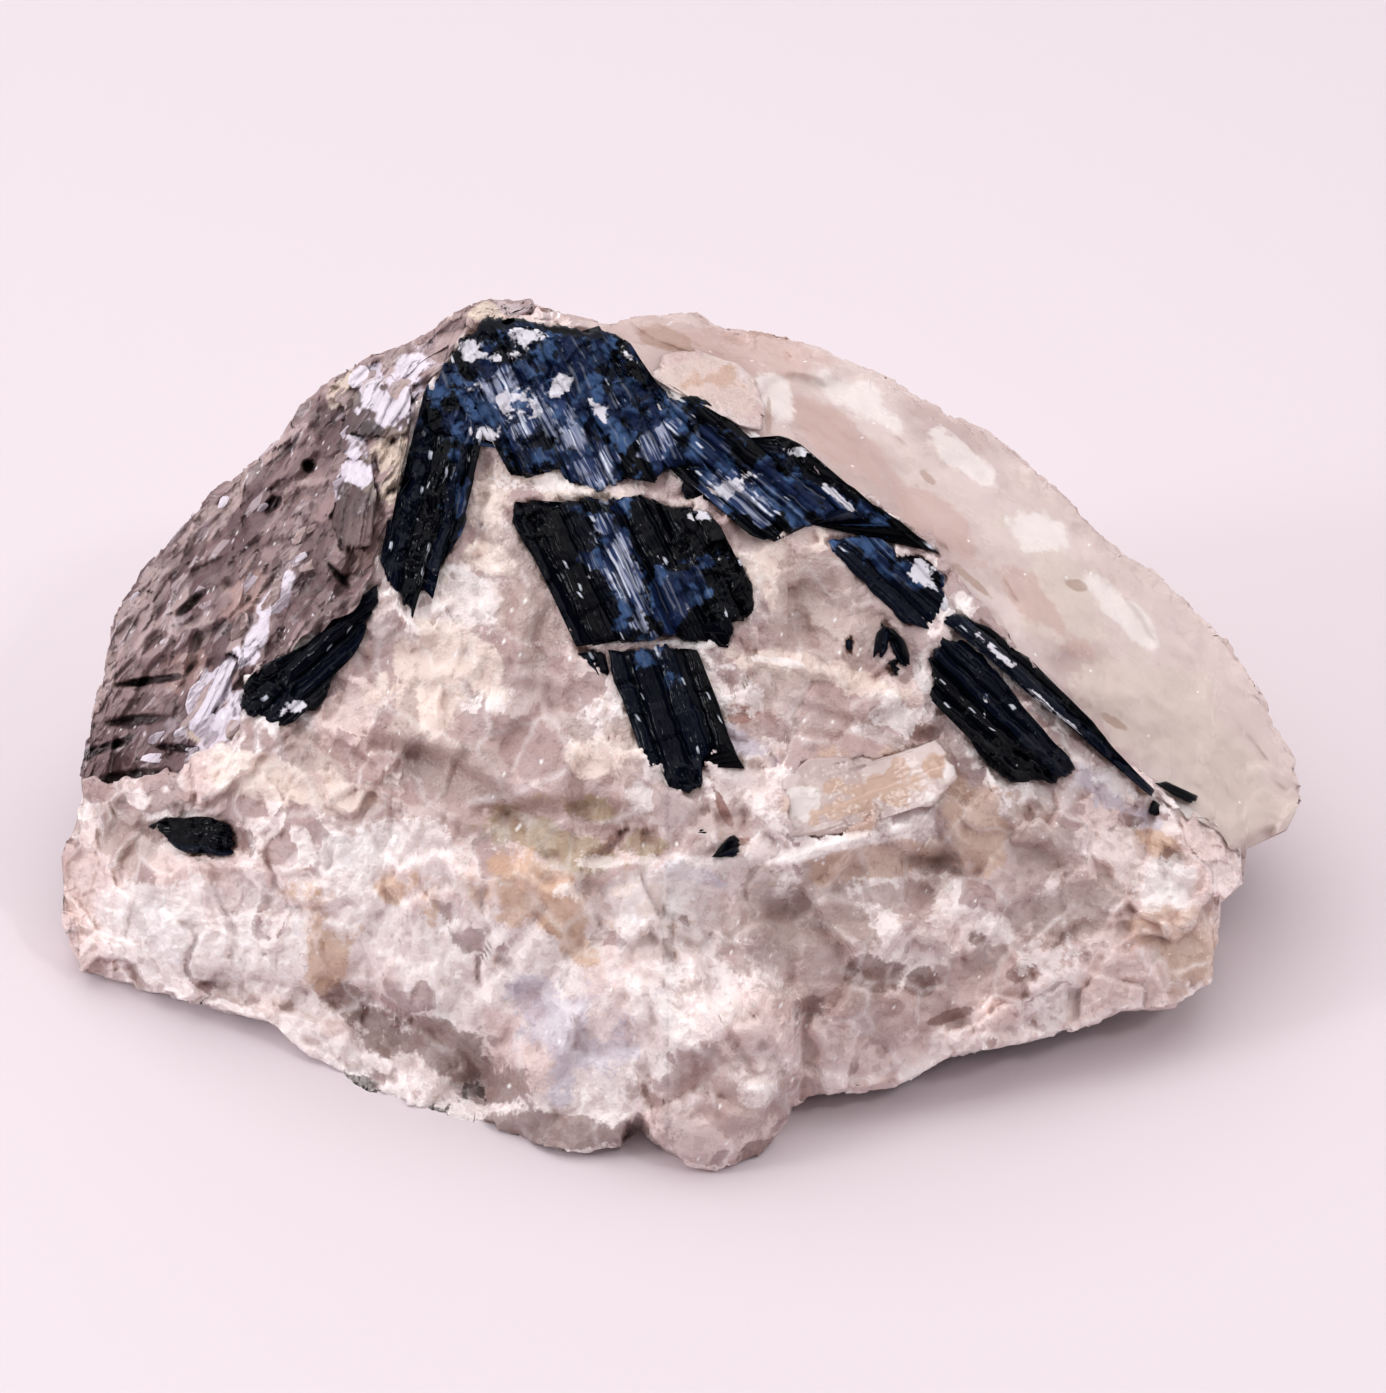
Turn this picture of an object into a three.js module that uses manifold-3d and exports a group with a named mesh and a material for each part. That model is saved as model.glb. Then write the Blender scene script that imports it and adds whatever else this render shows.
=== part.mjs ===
// Blue tourmaline in quartz: a broken hand specimen, 72 mm long, that rests on a flat break.
// The rock is one piece in which three minerals have grown together: a granular white feldspar front,
// a glassy quartz back and a flank of flaky mica. A spray of ribbed tourmaline crystals fans out of
// the crest over the front, and a few coarser grains and leaves of the rock stand out beside it.
// Millimetres. +Z up, +X to the right and -Y to the front. The origin is the middle of the base.

import * as THREE from "three";
import { ConvexGeometry } from "three/addons/geometries/ConvexGeometry.js";
import { mergeVertices } from "three/addons/utils/BufferGeometryUtils.js";
import Module from "manifold-3d";

const wasm = await Module();
wasm.setup();

// ---------------------------------------------------------------- driving dimensions

const FACE_PITCH = THREE.MathUtils.degToRad(40); // the broken front faces this far above level
const READING_DISTANCE = 250; // from the eye that the front is laid out for
const LAYOUT_CENTRE = new THREE.Vector3(0.79, -0.325, 15);
const CLEARANCE = 0.3; // between a crystal and its pocket in the rock
const OVERSIZE = 0.8; // of a mass, before its outline and its contacts are cut
const CRYSTAL_DEPTH = 2; // of a crystal below the lowest rock round it
const DEEPEST_SEAT = 2.5; // of that lowest rock below the rock at the crystal's middle
const WELD = 0.02; // overlap that joins neighbouring ribs of a crystal, and the masses of the rock
const RIB_STEPS = 0.8; // spread of the heights of a crystal's ribs
const RIB_CHANNEL = 61; // of the numbers that pick those heights
const LEAST_CHAMFER = 0.25; // drop from the middle of a rib to its edges, before it is varied
const RIB_BOTTOM = -4; // of a rib's section, which is then lowered to the crystal's own floor
const RIB_STEP = 9; // length of the straight stretches of a rib that follow the rock
const DEEPEST_FORM = -6; // depth in the layout behind which the front's local forms stop
const ABOVE_ALL = 25; // a depth in the layout in front of everything
const BEHIND_ALL = -40; // and one behind everything
const MASS_DETAIL = { feldspar: 11, quartz: 6, mica: 8 }; // splits of each edge of a mass's sphere

// The layout plane leans back by FACE_PITCH: u runs right, v up the slope and w out towards the eye.
const AXIS_U = new THREE.Vector3(1, 0, 0);
const AXIS_V = new THREE.Vector3(0, Math.sin(FACE_PITCH), Math.cos(FACE_PITCH));
const AXIS_W = new THREE.Vector3(0, -Math.cos(FACE_PITCH), Math.sin(FACE_PITCH));

// A point on the sight line through (u, v) of the layout plane, w in front of that plane.
function seen(u, v, w) {
  const shrink = 1 - w / READING_DISTANCE;
  return LAYOUT_CENTRE.clone()
    .addScaledVector(AXIS_U, u * shrink)
    .addScaledVector(AXIS_V, v * shrink)
    .addScaledVector(AXIS_W, w);
}

// The layout coordinates of a point: the inverse of seen().
function layoutOf(point) {
  const p = point.clone().sub(LAYOUT_CENTRE);
  const w = p.dot(AXIS_W);
  const shrink = 1 - w / READING_DISTANCE;
  return { u: p.dot(AXIS_U) / shrink, v: p.dot(AXIS_V) / shrink, w };
}

// A point of the back or the base: x and y from the layout's centre, z from the base.
const at = (x, y, z) => new THREE.Vector3(x + LAYOUT_CENTRE.x, y + LAYOUT_CENTRE.y, z);

// ---------------------------------------------------------------- outline and contacts

// The outline of the whole specimen, clockwise from the crest.
const SILHOUETTE = [
  [-12, 23], [-9, 23], [-5, 21.5], [0, 22.2], [4, 21], [9, 19.5], [12, 18], [17, 15.3], [21, 12],
  [24, 8.8], [28.5, 5.5], [32, 1.5], [34.8, -3.5], [35.3, -6], [34.5, -8], [31.8, -9], [32, -10.5],
  [30.5, -11.6], [30.2, -16], [28, -17.8], [22, -19.3], [15, -20.8], [12, -22.3], [5.5, -23.5],
  [5.3, -25], [4, -26.5], [1.5, -27.5], [-2, -26], [-3.2, -25], [-4, -26], [-9, -26], [-14, -24.3],
  [-20, -22], [-24.5, -18.8], [-35.5, -16], [-36.5, -13.5], [-36.5, -10], [-35.5, -8.3],
  [-34.7, -1.5], [-34, 2.8], [-32, 7], [-27.5, 12], [-24, 14.7], [-22.8, 16.8], [-21, 18.3],
  [-16, 20.5], [-14, 22],
];

// Where the feldspar meets the mica and then the quartz: from the left end, over the crest, to the right.
const SEAM_WITH_MICA = [
  [-40, -5.6], [-30.5, -4.6], [-26.4, -2.2], [-26.2, 1.2], [-19.4, 5.6], [-17.6, 10], [-16.2, 17],
  [-13, 21.8],
];
const SEAM_WITH_QUARTZ = [
  [-7, 22.4], [-2.6, 18.6], [1, 17.2], [3.6, 15.2], [13.6, 9.3], [18.6, 3], [24.4, -3.4],
  [30.6, -8], [36, -12],
];
const CREST_AT_BACK = at(-8.6, 40.9, 0); // the mica and the quartz meet on a line from the crest to here

// ---------------------------------------------------------------- corners of the masses

// Feldspar: the front. The upper face carries the crystals, the brow is where it breaks over to the skirt.
const FELDSPAR_FACE = {
  crest: seen(-9, 24.5, 3),
  crestLeft: seen(-16.5, 20, 1.8),
  flankHigh: seen(-20, 10.5, 3.2),
  flankLow: seen(-28.5, 0, 2),
  shoulderLeft: seen(-37, -5, -3.6),
  cheekLeft: seen(-37.4, -12.5, -4),
  heelLeft: seen(-36.5, -16.5, -4.5),
  ridgeHigh: seen(2.5, 19, 4),
  ridgeMiddle: seen(15, 11, 3.2),
  ridgeLow: seen(25.5, -1, 1.8),
  ridgeEnd: seen(32.5, -7.5, -0.5),
  endTop: seen(33, -10.5, -1.5),
  endFront: seen(31, -12.5, 1.2),
  endFoot: seen(30.8, -17.5, 2),
  skirtRight: seen(24, -19.4, 4.2),
  skirtMiddle: seen(10, -23.4, 6.4),
  browLeft: seen(-22, -7, 6.5),
  browMiddle: seen(-5, -9.5, 11),
  browRight: seen(6, -9.5, 11.3),
  browFarRight: seen(17, -6, 8),
  soleLeft: seen(-25, -19.5, -2),
  soleFront: seen(-17, -23.8, 2.8),
  innerHigh: at(-6.6, 11.9, 26),
  innerRight: at(23.4, 4.9, 6),
  innerLeft: at(-30.6, 5.9, 3),
  baseBack: at(-0.6, 8.9, -1),
  baseLeft: at(-32.6, -2.1, -1),
  baseRight: at(11.4, -9.1, -1),
};

// The foot: a lump that runs down to the foremost point of the base.
const FELDSPAR_FOOT = {
  toe: seen(0.6, -28.3, 7.6),
  toeLeft: seen(-3.5, -26.8, 7),
  toeRight: seen(5.3, -26, 5.5),
  heelRight: seen(6, -23.4, 6),
  instepRight: seen(5, -19, 11),
  instepLeft: seen(-4, -17, 11),
  flapLeft: seen(-12, -25.4, 5),
  flapTip: seen(-7, -26.8, 7),
  backLow: at(-0.6, 4.9, -1),
  backHigh: at(-4.6, 2.9, 18),
  sideLeft: at(-16.6, -5.1, 8),
  sideRight: at(11.4, -5.1, 8),
};

// Quartz: the glassy back and right end, whose top slopes away behind the ridge.
const QUARTZ_CORNERS = {
  crest: seen(-7, 20, 3),
  hump: seen(-0.5, 22.8, -4),
  humpRight: seen(4, 21.8, -6),
  backHigh: seen(8.5, 20.6, -8),
  backMiddle: seen(12.5, 18.6, -9),
  backBroad: seen(18.5, 15, -9.5),
  backLow: seen(23, 10.9, -9.5),
  shoulder: seen(27.6, 7.6, -9),
  cheekHigh: seen(32, 2.8, -8),
  cheekLow: seen(34.6, -2, -6.5),
  tip: seen(36, -6, -4.5),
  tipUnder: seen(35.2, -8.5, -3.5),
  tipInner: seen(32.6, -9.8, -2),
  ridgeHigh: seen(0.5, 15.2, 7),
  ridgeMiddle: seen(11.6, 8.1, 7.2),
  ridgeLow: seen(21.6, -3.7, 5),
  ridgeEnd: seen(29.7, -9.4, 1.6),
  wallHigh: at(-8, 21.6, 22),
  wallMiddle: at(8.4, 23.5, 12),
  wallLeft: at(-13.6, 22, 6),
  wallRight: at(23.4, 19, 9),
  heelBack: at(5.4, 21.9, -1),
  heelLeft: at(-14, 19.5, -1),
  heelRight: at(20.4, 16.5, -1),
  heelEnd: at(30.9, 4.9, 3.5),
  soleEnd: at(23.4, 3.5, -1),
  soleFront: at(11.4, -7.1, -1),
  soleInner: at(-14.6, -1.1, -1),
};

// Mica: the flaky left flank, from the crest down behind the left shoulder.
const MICA_CORNERS = {
  crest: seen(-9, 23.8, 3),
  crestBack: seen(-7, 23.4, -1),
  crestLeft: seen(-15, 21.8, -0.5),
  bench: seen(-18.5, 20.8, -3),
  shoulderHigh: seen(-22, 18.9, -5),
  shoulder: seen(-25, 15.2, -6.5),
  flankHigh: seen(-29, 11.8, -8),
  flankMiddle: seen(-32, 8, -8),
  flankLow: seen(-34.5, 4.2, -8),
  cheekHigh: seen(-35.4, 0, -7),
  cheekLow: seen(-36.4, -4.8, -5.5),
  contactHigh: seen(-13.3, 17.6, 4.7),
  contactMiddle: seen(-16.7, 9, 6),
  contactLow: seen(-23.8, 0, 5),
  contactEnd: seen(-32, -6.4, -1),
  wallTop: at(-4, 19, 26),
  wallHigh: at(-14, 22, 17),
  wallLow: at(-15, 22, 5),
  wallLeft: at(-28, 15, 6),
  heelLeft: at(-34.1, 4.5, 4),
  heelBack: at(-14, 19, -1),
  heelFront: at(-30.6, -1.1, -1),
  innerLow: at(-4.6, 2.9, -1),
  innerHigh: at(-4.6, 6.9, 22),
  innerBack: at(-4, 21.5, 6),
  heelInner: at(-4, 19.5, -1),
};

// ---------------------------------------------------------------- relief

const fromMiddle = (point) => point.clone().sub(LAYOUT_CENTRE).toArray();
const fraction = (x) => x - Math.floor(x);

// A repeatable number from 0 to 1 for each whole-numbered place and channel.
function chance(i, j, k, channel) {
  return fraction(Math.sin(i * 127.1 + j * 311.7 + k * 74.7 + channel * 19.19) * 43758.5453);
}

// Broken facets: space is split into cells about their scattered seeds, and each cell has its own
// lift and its own tilt, so a surface that it raises is stepped and flat-faced like a fresh break.
function facetLift([x, y, z], { cell, lift, slope, channel }) {
  const home = [x, y, z].map((c) => Math.floor(c / cell));
  let nearest = Infinity;
  let height = 0;
  for (let i = home[0] - 1; i <= home[0] + 1; i++)
    for (let j = home[1] - 1; j <= home[1] + 1; j++)
      for (let k = home[2] - 1; k <= home[2] + 1; k++) {
        const dx = x / cell - i - chance(i, j, k, channel);
        const dy = y / cell - j - chance(i, j, k, channel + 1);
        const dz = z / cell - k - chance(i, j, k, channel + 2);
        const distance = dx * dx + dy * dy + dz * dz;
        if (distance >= nearest) continue;
        nearest = distance;
        const tilt = [4, 5, 6].map((c) => chance(i, j, k, channel + c) - 0.5);
        height = chance(i, j, k, channel + 3) - 0.5 + slope * (tilt[0] * dx + tilt[1] * dy + tilt[2] * dz);
      }
  return lift * height;
}

// Oval forms raised on the feldspar or sunk in it: [u, v, half length, half height, turn in degrees, lift].
const FELDSPAR_FORMS = {
  shelf: [-7.5, -7.9, 7, 2, 0, -2.2],
  underBlock: [10, -11.5, 7, 2.2, 14, -1.3],
  leftBulge: [-27, -12.5, 8, 4, -10, 0.8],
  blackPit: [-29, -8, 3.2, 1.4, -12, -1],
  darkBand: [-16, -20.2, 6.5, 1.7, -33, -1.8],
  toeNotch: [-3.3, -26.2, 0.9, 1.8, 0, -3.5],
  creaseLeft: [-14.5, -5, 6, 1.5, -25, -1],
  foldRight: [19, -17, 4, 1.8, 20, 0.9],
};

// The sum of the lifts at a point: full inside each oval, and falling to nothing over its outer part.
function formLift(forms, point) {
  const { u, v, w } = layoutOf(point);
  if (w < DEEPEST_FORM) return 0;
  return forms.reduce((sum, [fu, fv, halfLong, halfHigh, turn, lift]) => {
    const a = THREE.MathUtils.degToRad(turn);
    const along = ((u - fu) * Math.cos(a) + (v - fv) * Math.sin(a)) / halfLong;
    const across = ((v - fv) * Math.cos(a) - (u - fu) * Math.sin(a)) / halfHigh;
    return sum + lift * (1 - THREE.MathUtils.smoothstep(Math.hypot(along, across), 0.6, 1.15));
  }, 0);
}

// Mica splits into leaves, so its broken cells are long down the flank and thin across the leaves.
const LEAF_TURN = THREE.MathUtils.degToRad(48);
const LEAF_LENGTH = 2.4; // of a cell, against its thickness
const LEAF_WIDTH = 1.6;
function leafPoint(point) {
  const { u, v, w } = layoutOf(point);
  const along = u * Math.cos(LEAF_TURN) + v * Math.sin(LEAF_TURN);
  const across = v * Math.cos(LEAF_TURN) - u * Math.sin(LEAF_TURN);
  return [along / LEAF_LENGTH, across, w / LEAF_WIDTH];
}

// ---------------------------------------------------------------- solids

// A three.js geometry as a manifold solid.
function solidOf(geometry) {
  const bare = new THREE.BufferGeometry();
  bare.setAttribute("position", geometry.getAttribute("position"));
  if (geometry.index) bare.setIndex(geometry.index);
  const merged = mergeVertices(bare, 1e-4);
  return new wasm.Manifold(
    new wasm.Mesh({
      numProp: 3,
      vertProperties: new Float32Array(merged.attributes.position.array),
      triVerts: new Uint32Array(merged.index.array),
    }),
  );
}

// A geometry with every vertex moved to a new place.
function remapped(geometry, place) {
  const position = geometry.getAttribute("position");
  for (let i = 0; i < position.count; i++) {
    const p = place(new THREE.Vector3().fromBufferAttribute(position, i));
    position.setXYZ(i, p.x, p.y, p.z);
  }
  return geometry;
}

// The largest body of a solid: a cut can leave crumbs.
function largest(solid) {
  return solid.decompose().reduce((a, b) => (a.volume() > b.volume() ? a : b));
}

// The planes of the convex hull of some corners: normal . point = distance.
function hullPlanes(corners) {
  const position = new ConvexGeometry(Object.values(corners)).getAttribute("position");
  const planes = [];
  for (let i = 0; i < position.count; i += 3) {
    const [a, b, c] = [0, 1, 2].map((j) => new THREE.Vector3().fromBufferAttribute(position, i + j));
    const normal = b.sub(a).cross(c.sub(a)).normalize();
    planes.push({ normal, distance: normal.dot(a) });
  }
  return planes;
}

// How far a hull reaches from a centre in a direction: the nearest of its planes.
function reach(planes, centre, direction) {
  return planes.reduce((least, { normal, distance }) => {
    const facing = normal.dot(direction);
    return facing > 1e-6 ? Math.min(least, (distance - normal.dot(centre)) / facing) : least;
  }, Infinity);
}

// Where the sight line through (u, v) enters a hull: the depth of the nearest plane that faces the eye.
function faceDepth(planes, u, v) {
  const start = seen(u, v, 0);
  const line = seen(u, v, 1).sub(start);
  return planes.reduce((least, { normal, distance }) => {
    const facing = normal.dot(line);
    return facing > 0.3 ? Math.min(least, (distance - normal.dot(start)) / facing) : least;
  }, Infinity);
}

const FACE = hullPlanes(FELDSPAR_FACE);
const SLOPE = hullPlanes(QUARTZ_CORNERS);
const FLANK = hullPlanes(MICA_CORNERS);

// Each mass is pushed out from its centre. Its breaks are the sizes of broken facets on it, in mm.
const MASSES = {
  feldspar: {
    centre: at(-2.6, -4, 9),
    hulls: [FACE, hullPlanes(FELDSPAR_FOOT)],
    detail: MASS_DETAIL.feldspar,
    grain: fromMiddle,
    breaks: [
      { cell: 6, lift: 1.1, slope: 1.4, channel: 1 },
      { cell: 3, lift: 0.5, slope: 1.4, channel: 11 },
    ],
    forms: Object.values(FELDSPAR_FORMS),
  },
  quartz: {
    centre: at(11.4, 7, 11),
    hulls: [SLOPE],
    detail: MASS_DETAIL.quartz,
    grain: fromMiddle,
    breaks: [
      { cell: 9, lift: 1.2, slope: 1.6, channel: 21 },
      { cell: 3.5, lift: 0.4, slope: 1.4, channel: 31 },
    ],
    forms: [],
  },
  mica: {
    centre: at(-20.6, 8, 11),
    hulls: [FLANK],
    detail: MASS_DETAIL.mica,
    grain: leafPoint,
    breaks: [
      { cell: 4, lift: 2, slope: 1.2, channel: 41 },
      { cell: 1.8, lift: 0.7, slope: 1.2, channel: 51 },
    ],
    forms: [],
  },
};

// How far the broken facets and the local forms raise a mass at a point.
function relief({ grain, breaks, forms }, point) {
  const place = grain(point);
  return breaks.reduce((sum, facet) => sum + facetLift(place, facet), formLift(forms, point));
}

// A mass: a sphere's vertices are pushed out to the furthest of its hulls, then lifted by the relief.
function massSolid(mass) {
  const { centre, hulls, detail } = mass;
  const sphere = new THREE.IcosahedronGeometry(1, detail);
  const pushedOut = remapped(sphere, (p) => {
    const direction = p.clone().normalize();
    const base = Math.max(...hulls.map((planes) => reach(planes, centre, direction)));
    const surface = centre.clone().addScaledVector(direction, base);
    return surface.addScaledVector(direction, OVERSIZE + relief(mass, surface));
  });
  return solidOf(pushedOut);
}

// ---------------------------------------------------------------- territories in plan

// An upright prism over a plan outline, taller than the specimen.
function planPrism(points) {
  const shape = new THREE.Shape(points.map(({ x, y }) => new THREE.Vector2(x, y)));
  const prism = new THREE.ExtrudeGeometry(shape, { depth: 45, bevelEnabled: false });
  return solidOf(prism.translate(0, 0, -5));
}

// A seam in plan, drawn on the feldspar face and moved back by a shift.
function seamInPlan(seam, shift) {
  return seam.map(([u, v]) => seen(u, v, faceDepth(FACE, u, v)).add(new THREE.Vector3(0, shift, 0)));
}

// Each mass's share of the plan. Neighbouring shares overlap a little, so the masses join as one rock.
function territories() {
  const corner = (x, y) => new THREE.Vector3(x, y, 0);
  const [micaSeam, quartzSeam] = [SEAM_WITH_MICA, SEAM_WITH_QUARTZ].map((seam) => seamInPlan(seam, -WELD));
  const crest = micaSeam.at(-1).clone().lerp(quartzSeam[0], 0.5);
  const side = corner(WELD, 0);
  const backSeam = [crest, CREST_AT_BACK];
  return {
    feldspar: planPrism([
      ...seamInPlan([...SEAM_WITH_MICA, ...SEAM_WITH_QUARTZ], WELD), corner(50, -40), corner(-50, -40),
    ]),
    mica: planPrism([...micaSeam, ...backSeam.map((p) => p.clone().add(side)), corner(-50, 40)]),
    quartz: planPrism([
      ...quartzSeam, corner(50, 40), ...backSeam.map((p) => p.clone().sub(side)).reverse(),
    ]),
  };
}

// ---------------------------------------------------------------- crystals

// A clockwise outline moved outwards by a margin, each corner along the bisector of its two sides.
function grown(outline, margin) {
  return outline.map(([u, v], i) => {
    const [pu, pv] = outline.at(i - 1);
    const [nu, nv] = outline[(i + 1) % outline.length];
    const before = new THREE.Vector2(pv - v, u - pu).normalize();
    const after = new THREE.Vector2(v - nv, nu - u).normalize();
    const normal = before.clone().add(after).normalize();
    const miter = margin / Math.max(0.5, normal.dot(before));
    return [u + normal.x * miter, v + normal.y * miter];
  });
}

// A prism over an outline, between two depths of the layout. Its sides run along the sight lines.
function outlinePrism(outline, wLow, wHigh) {
  const shape = new THREE.Shape(outline.map(([u, v]) => new THREE.Vector2(u, v)));
  const prism = new THREE.ExtrudeGeometry(shape, { depth: 1, bevelEnabled: false, steps: 1 });
  return solidOf(remapped(prism, (p) => seen(p.x, p.y, p.z > 0.5 ? wHigh : wLow)));
}

// How deep a crystal sits: below the lowest point of the rock round its outline.
function crystalFloor({ outline, host }) {
  const depths = outline.map(([u, v]) => faceDepth(host, u, v));
  const middle = depths.reduce((sum, w) => sum + w, 0) / depths.length;
  return Math.max(Math.min(...depths), middle - DEEPEST_SEAT) - CRYSTAL_DEPTH;
}

// A crystal or a cleaved grain: parallel ribs along its own axis, each a long prism with a chamfered
// top that follows the rock beneath it, all cut to the outline.
function crystal(spec) {
  const { outline, turn, ribs, lift, channel, host } = spec;
  const angle = THREE.MathUtils.degToRad(turn);
  const [cos, sin] = [Math.cos(angle), Math.sin(angle)];
  const alongs = outline.map(([u, v]) => u * cos + v * sin);
  const acrosses = outline.map(([u, v]) => v * cos - u * sin);
  const [start, end] = [Math.min(...alongs) - 1, Math.max(...alongs) + 1];
  const [low, high] = [Math.min(...acrosses), Math.max(...acrosses)];
  const width = (high - low) / ribs;
  const floor = crystalFloor(spec);
  const solids = [];
  for (let i = 0; i < ribs; i++) {
    const left = low + i * width - WELD;
    const right = low + (i + 1) * width + WELD;
    const top = lift + RIB_STEPS * (chance(i, channel, 0, RIB_CHANNEL) - 0.5);
    const edges = [1, 2].map((c) => top - LEAST_CHAMFER * (1 + 1.4 * chance(i, channel, c, RIB_CHANNEL)));
    const section = new THREE.Shape([
      new THREE.Vector2(left, RIB_BOTTOM),
      new THREE.Vector2(right, RIB_BOTTOM),
      new THREE.Vector2(right, edges[0]),
      new THREE.Vector2(right - 0.3 * width, top),
      new THREE.Vector2(left + 0.3 * width, top),
      new THREE.Vector2(left, edges[1]),
    ]);
    const steps = Math.ceil((end - start) / RIB_STEP);
    const rib = new THREE.ExtrudeGeometry(section, { depth: end - start, bevelEnabled: false, steps });
    const drape = (p) => {
      const a = start + p.z;
      const [u, v] = [a * cos - p.x * sin, a * sin + p.x * cos];
      return seen(u, v, p.y === RIB_BOTTOM ? floor : faceDepth(host, u, v) + p.y);
    };
    solids.push(solidOf(remapped(rib, drape)));
  }
  return largest(wasm.Manifold.union(solids).intersect(outlinePrism(outline, floor - 1, ABOVE_ALL)));
}

// The room that a crystal takes out of the rock, open to the front.
function pocket(spec) {
  return outlinePrism(grown(spec.outline, CLEARANCE), crystalFloor(spec) - CLEARANCE, ABOVE_ALL);
}

const TOURMALINES = {
  crown: {
    outline: [
      [-15.3, 18], [-14, 20.2], [-12.5, 22], [-9.8, 22.6], [-8, 22], [-5, 21.3], [-3.4, 20.3],
      [-1.6, 17.9], [-0.6, 15], [-1.2, 13.9], [-2.3, 12.9], [-6.9, 12], [-7.4, 12.9],
      [-10.6, 13], [-11.2, 15.2], [-13.5, 15],
    ],
    turn: -64, ribs: 7, lift: 0.7, channel: 1, host: FACE,
  },
  leftArm: {
    outline: [
      [-16.2, 16.4], [-15, 18.3], [-12.8, 17.5], [-12.3, 14], [-13.3, 13.6], [-13.7, 11.5],
      [-13.1, 10.2], [-14.1, 8], [-15.1, 7.2], [-15.4, 5.4], [-16.2, 5.8], [-16.4, 4.2],
      [-17.4, 6], [-17.8, 10.3], [-16.4, 13],
    ],
    turn: -100, ribs: 3, lift: 0.6, channel: 2, host: FACE,
  },
  rightArm: {
    outline: [
      [-1.8, 17], [0.4, 17.4], [3, 15.4], [5.3, 14.6], [7.6, 12.4], [11, 10.8], [13.6, 9.2],
      [10.8, 9.9], [8, 10.7], [5.6, 10], [4.5, 8.5], [3.2, 9.4], [1.8, 11.2], [-0.7, 11.1],
      [-0.5, 12.9],
    ],
    turn: -41, ribs: 4, lift: 0.8, channel: 3, host: FACE,
  },
  tourmaline_centre_upper: {
    outline: [
      [-10.7, 10.6], [-9.8, 11.6], [-8.1, 11.4], [-6.4, 11.5], [-3.2, 11.5], [-1.2, 11],
      [0.4, 10.9], [1.7, 9.4], [1.8, 8.5], [3.2, 7.3], [3.6, 5.8], [2.5, 4.4], [1.8, 3.1],
      [-1.3, 3.3], [-4.8, 3.3], [-5, 1.2], [-5.6, 1.1], [-6.9, 3.2], [-7.5, 5], [-9.1, 7.8],
    ],
    turn: -64, ribs: 6, lift: 0.9, channel: 4, host: FACE,
  },
  tourmaline_centre_lower: {
    outline: [
      [-4.4, 2.6], [0.5, 2.5], [1.3, 0.4], [2.2, -2], [3, -4.1], [1.7, -3.2], [0.7, -3.6],
      [0.7, -5.5], [-1.2, -5.5], [-1.6, -4.3], [-2.9, -3.7], [-3.6, -0.8],
    ],
    turn: -72, ribs: 4, lift: 1, channel: 5, host: FACE,
  },
  tourmaline_right_upper: {
    outline: [
      [8, 9.1], [9.8, 9.3], [11.6, 8.9], [12.8, 7.8], [14.6, 6], [13.9, 4.4], [12.4, 4.1],
      [10.9, 5.7], [9.6, 7], [8.2, 7.9],
    ],
    turn: -44, ribs: 3, lift: 0.7, channel: 6, host: FACE,
  },
  tourmaline_right_lower: {
    outline: [
      [13.6, 2.7], [15.2, 3.3], [16.9, 2.4], [19, -0.4], [20.6, -1.8], [22.3, -4.1], [21.3, -4.9],
      [18, -4.7], [16.7, -3.4], [15.9, -1.8], [13.8, -0.1],
    ],
    turn: -43, ribs: 4, lift: 0.8, channel: 7, host: FACE,
  },
  tourmaline_edge_blade: {
    outline: [
      [15.6, 4.9], [17.2, 4], [19.4, 2.4], [22.2, -0.7], [24.8, -3.4], [26.9, -5.7], [26.5, -5.9],
      [23.2, -3], [20.6, -0.8], [18.2, 1.9],
    ],
    turn: -43, ribs: 2, lift: 0.9, channel: 8, host: FACE,
  },
  tourmaline_left_foot: {
    outline: [
      [-18.6, 6.4], [-18.3, 5.2], [-19.4, 2.8], [-19.6, 1.4], [-21, 0.4], [-21.6, -0.9],
      [-22.4, -0.8], [-23.2, -1.6], [-25.2, -1], [-26.3, -0.8], [-26, 1], [-24, 2.3],
      [-21.6, 3.9], [-20.2, 4.7],
    ],
    turn: 225, ribs: 3, lift: 0.7, channel: 9, host: FACE,
  },
  tourmaline_speck_left: {
    outline: [[-31.6, -7.6], [-30.3, -6.9], [-28.2, -7], [-26.4, -8.4], [-27, -9.4], [-29.2, -9.3]],
    turn: -10, ribs: 2, lift: 0.2, channel: 10, host: FACE,
  },
  tourmaline_chip: {
    outline: [[0.7, -9.4], [1.2, -8.6], [2.2, -8], [3.2, -8.9], [2.2, -9.6]],
    turn: 20, ribs: 1, lift: 0.4, channel: 11, host: FACE,
  },
};

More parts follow.
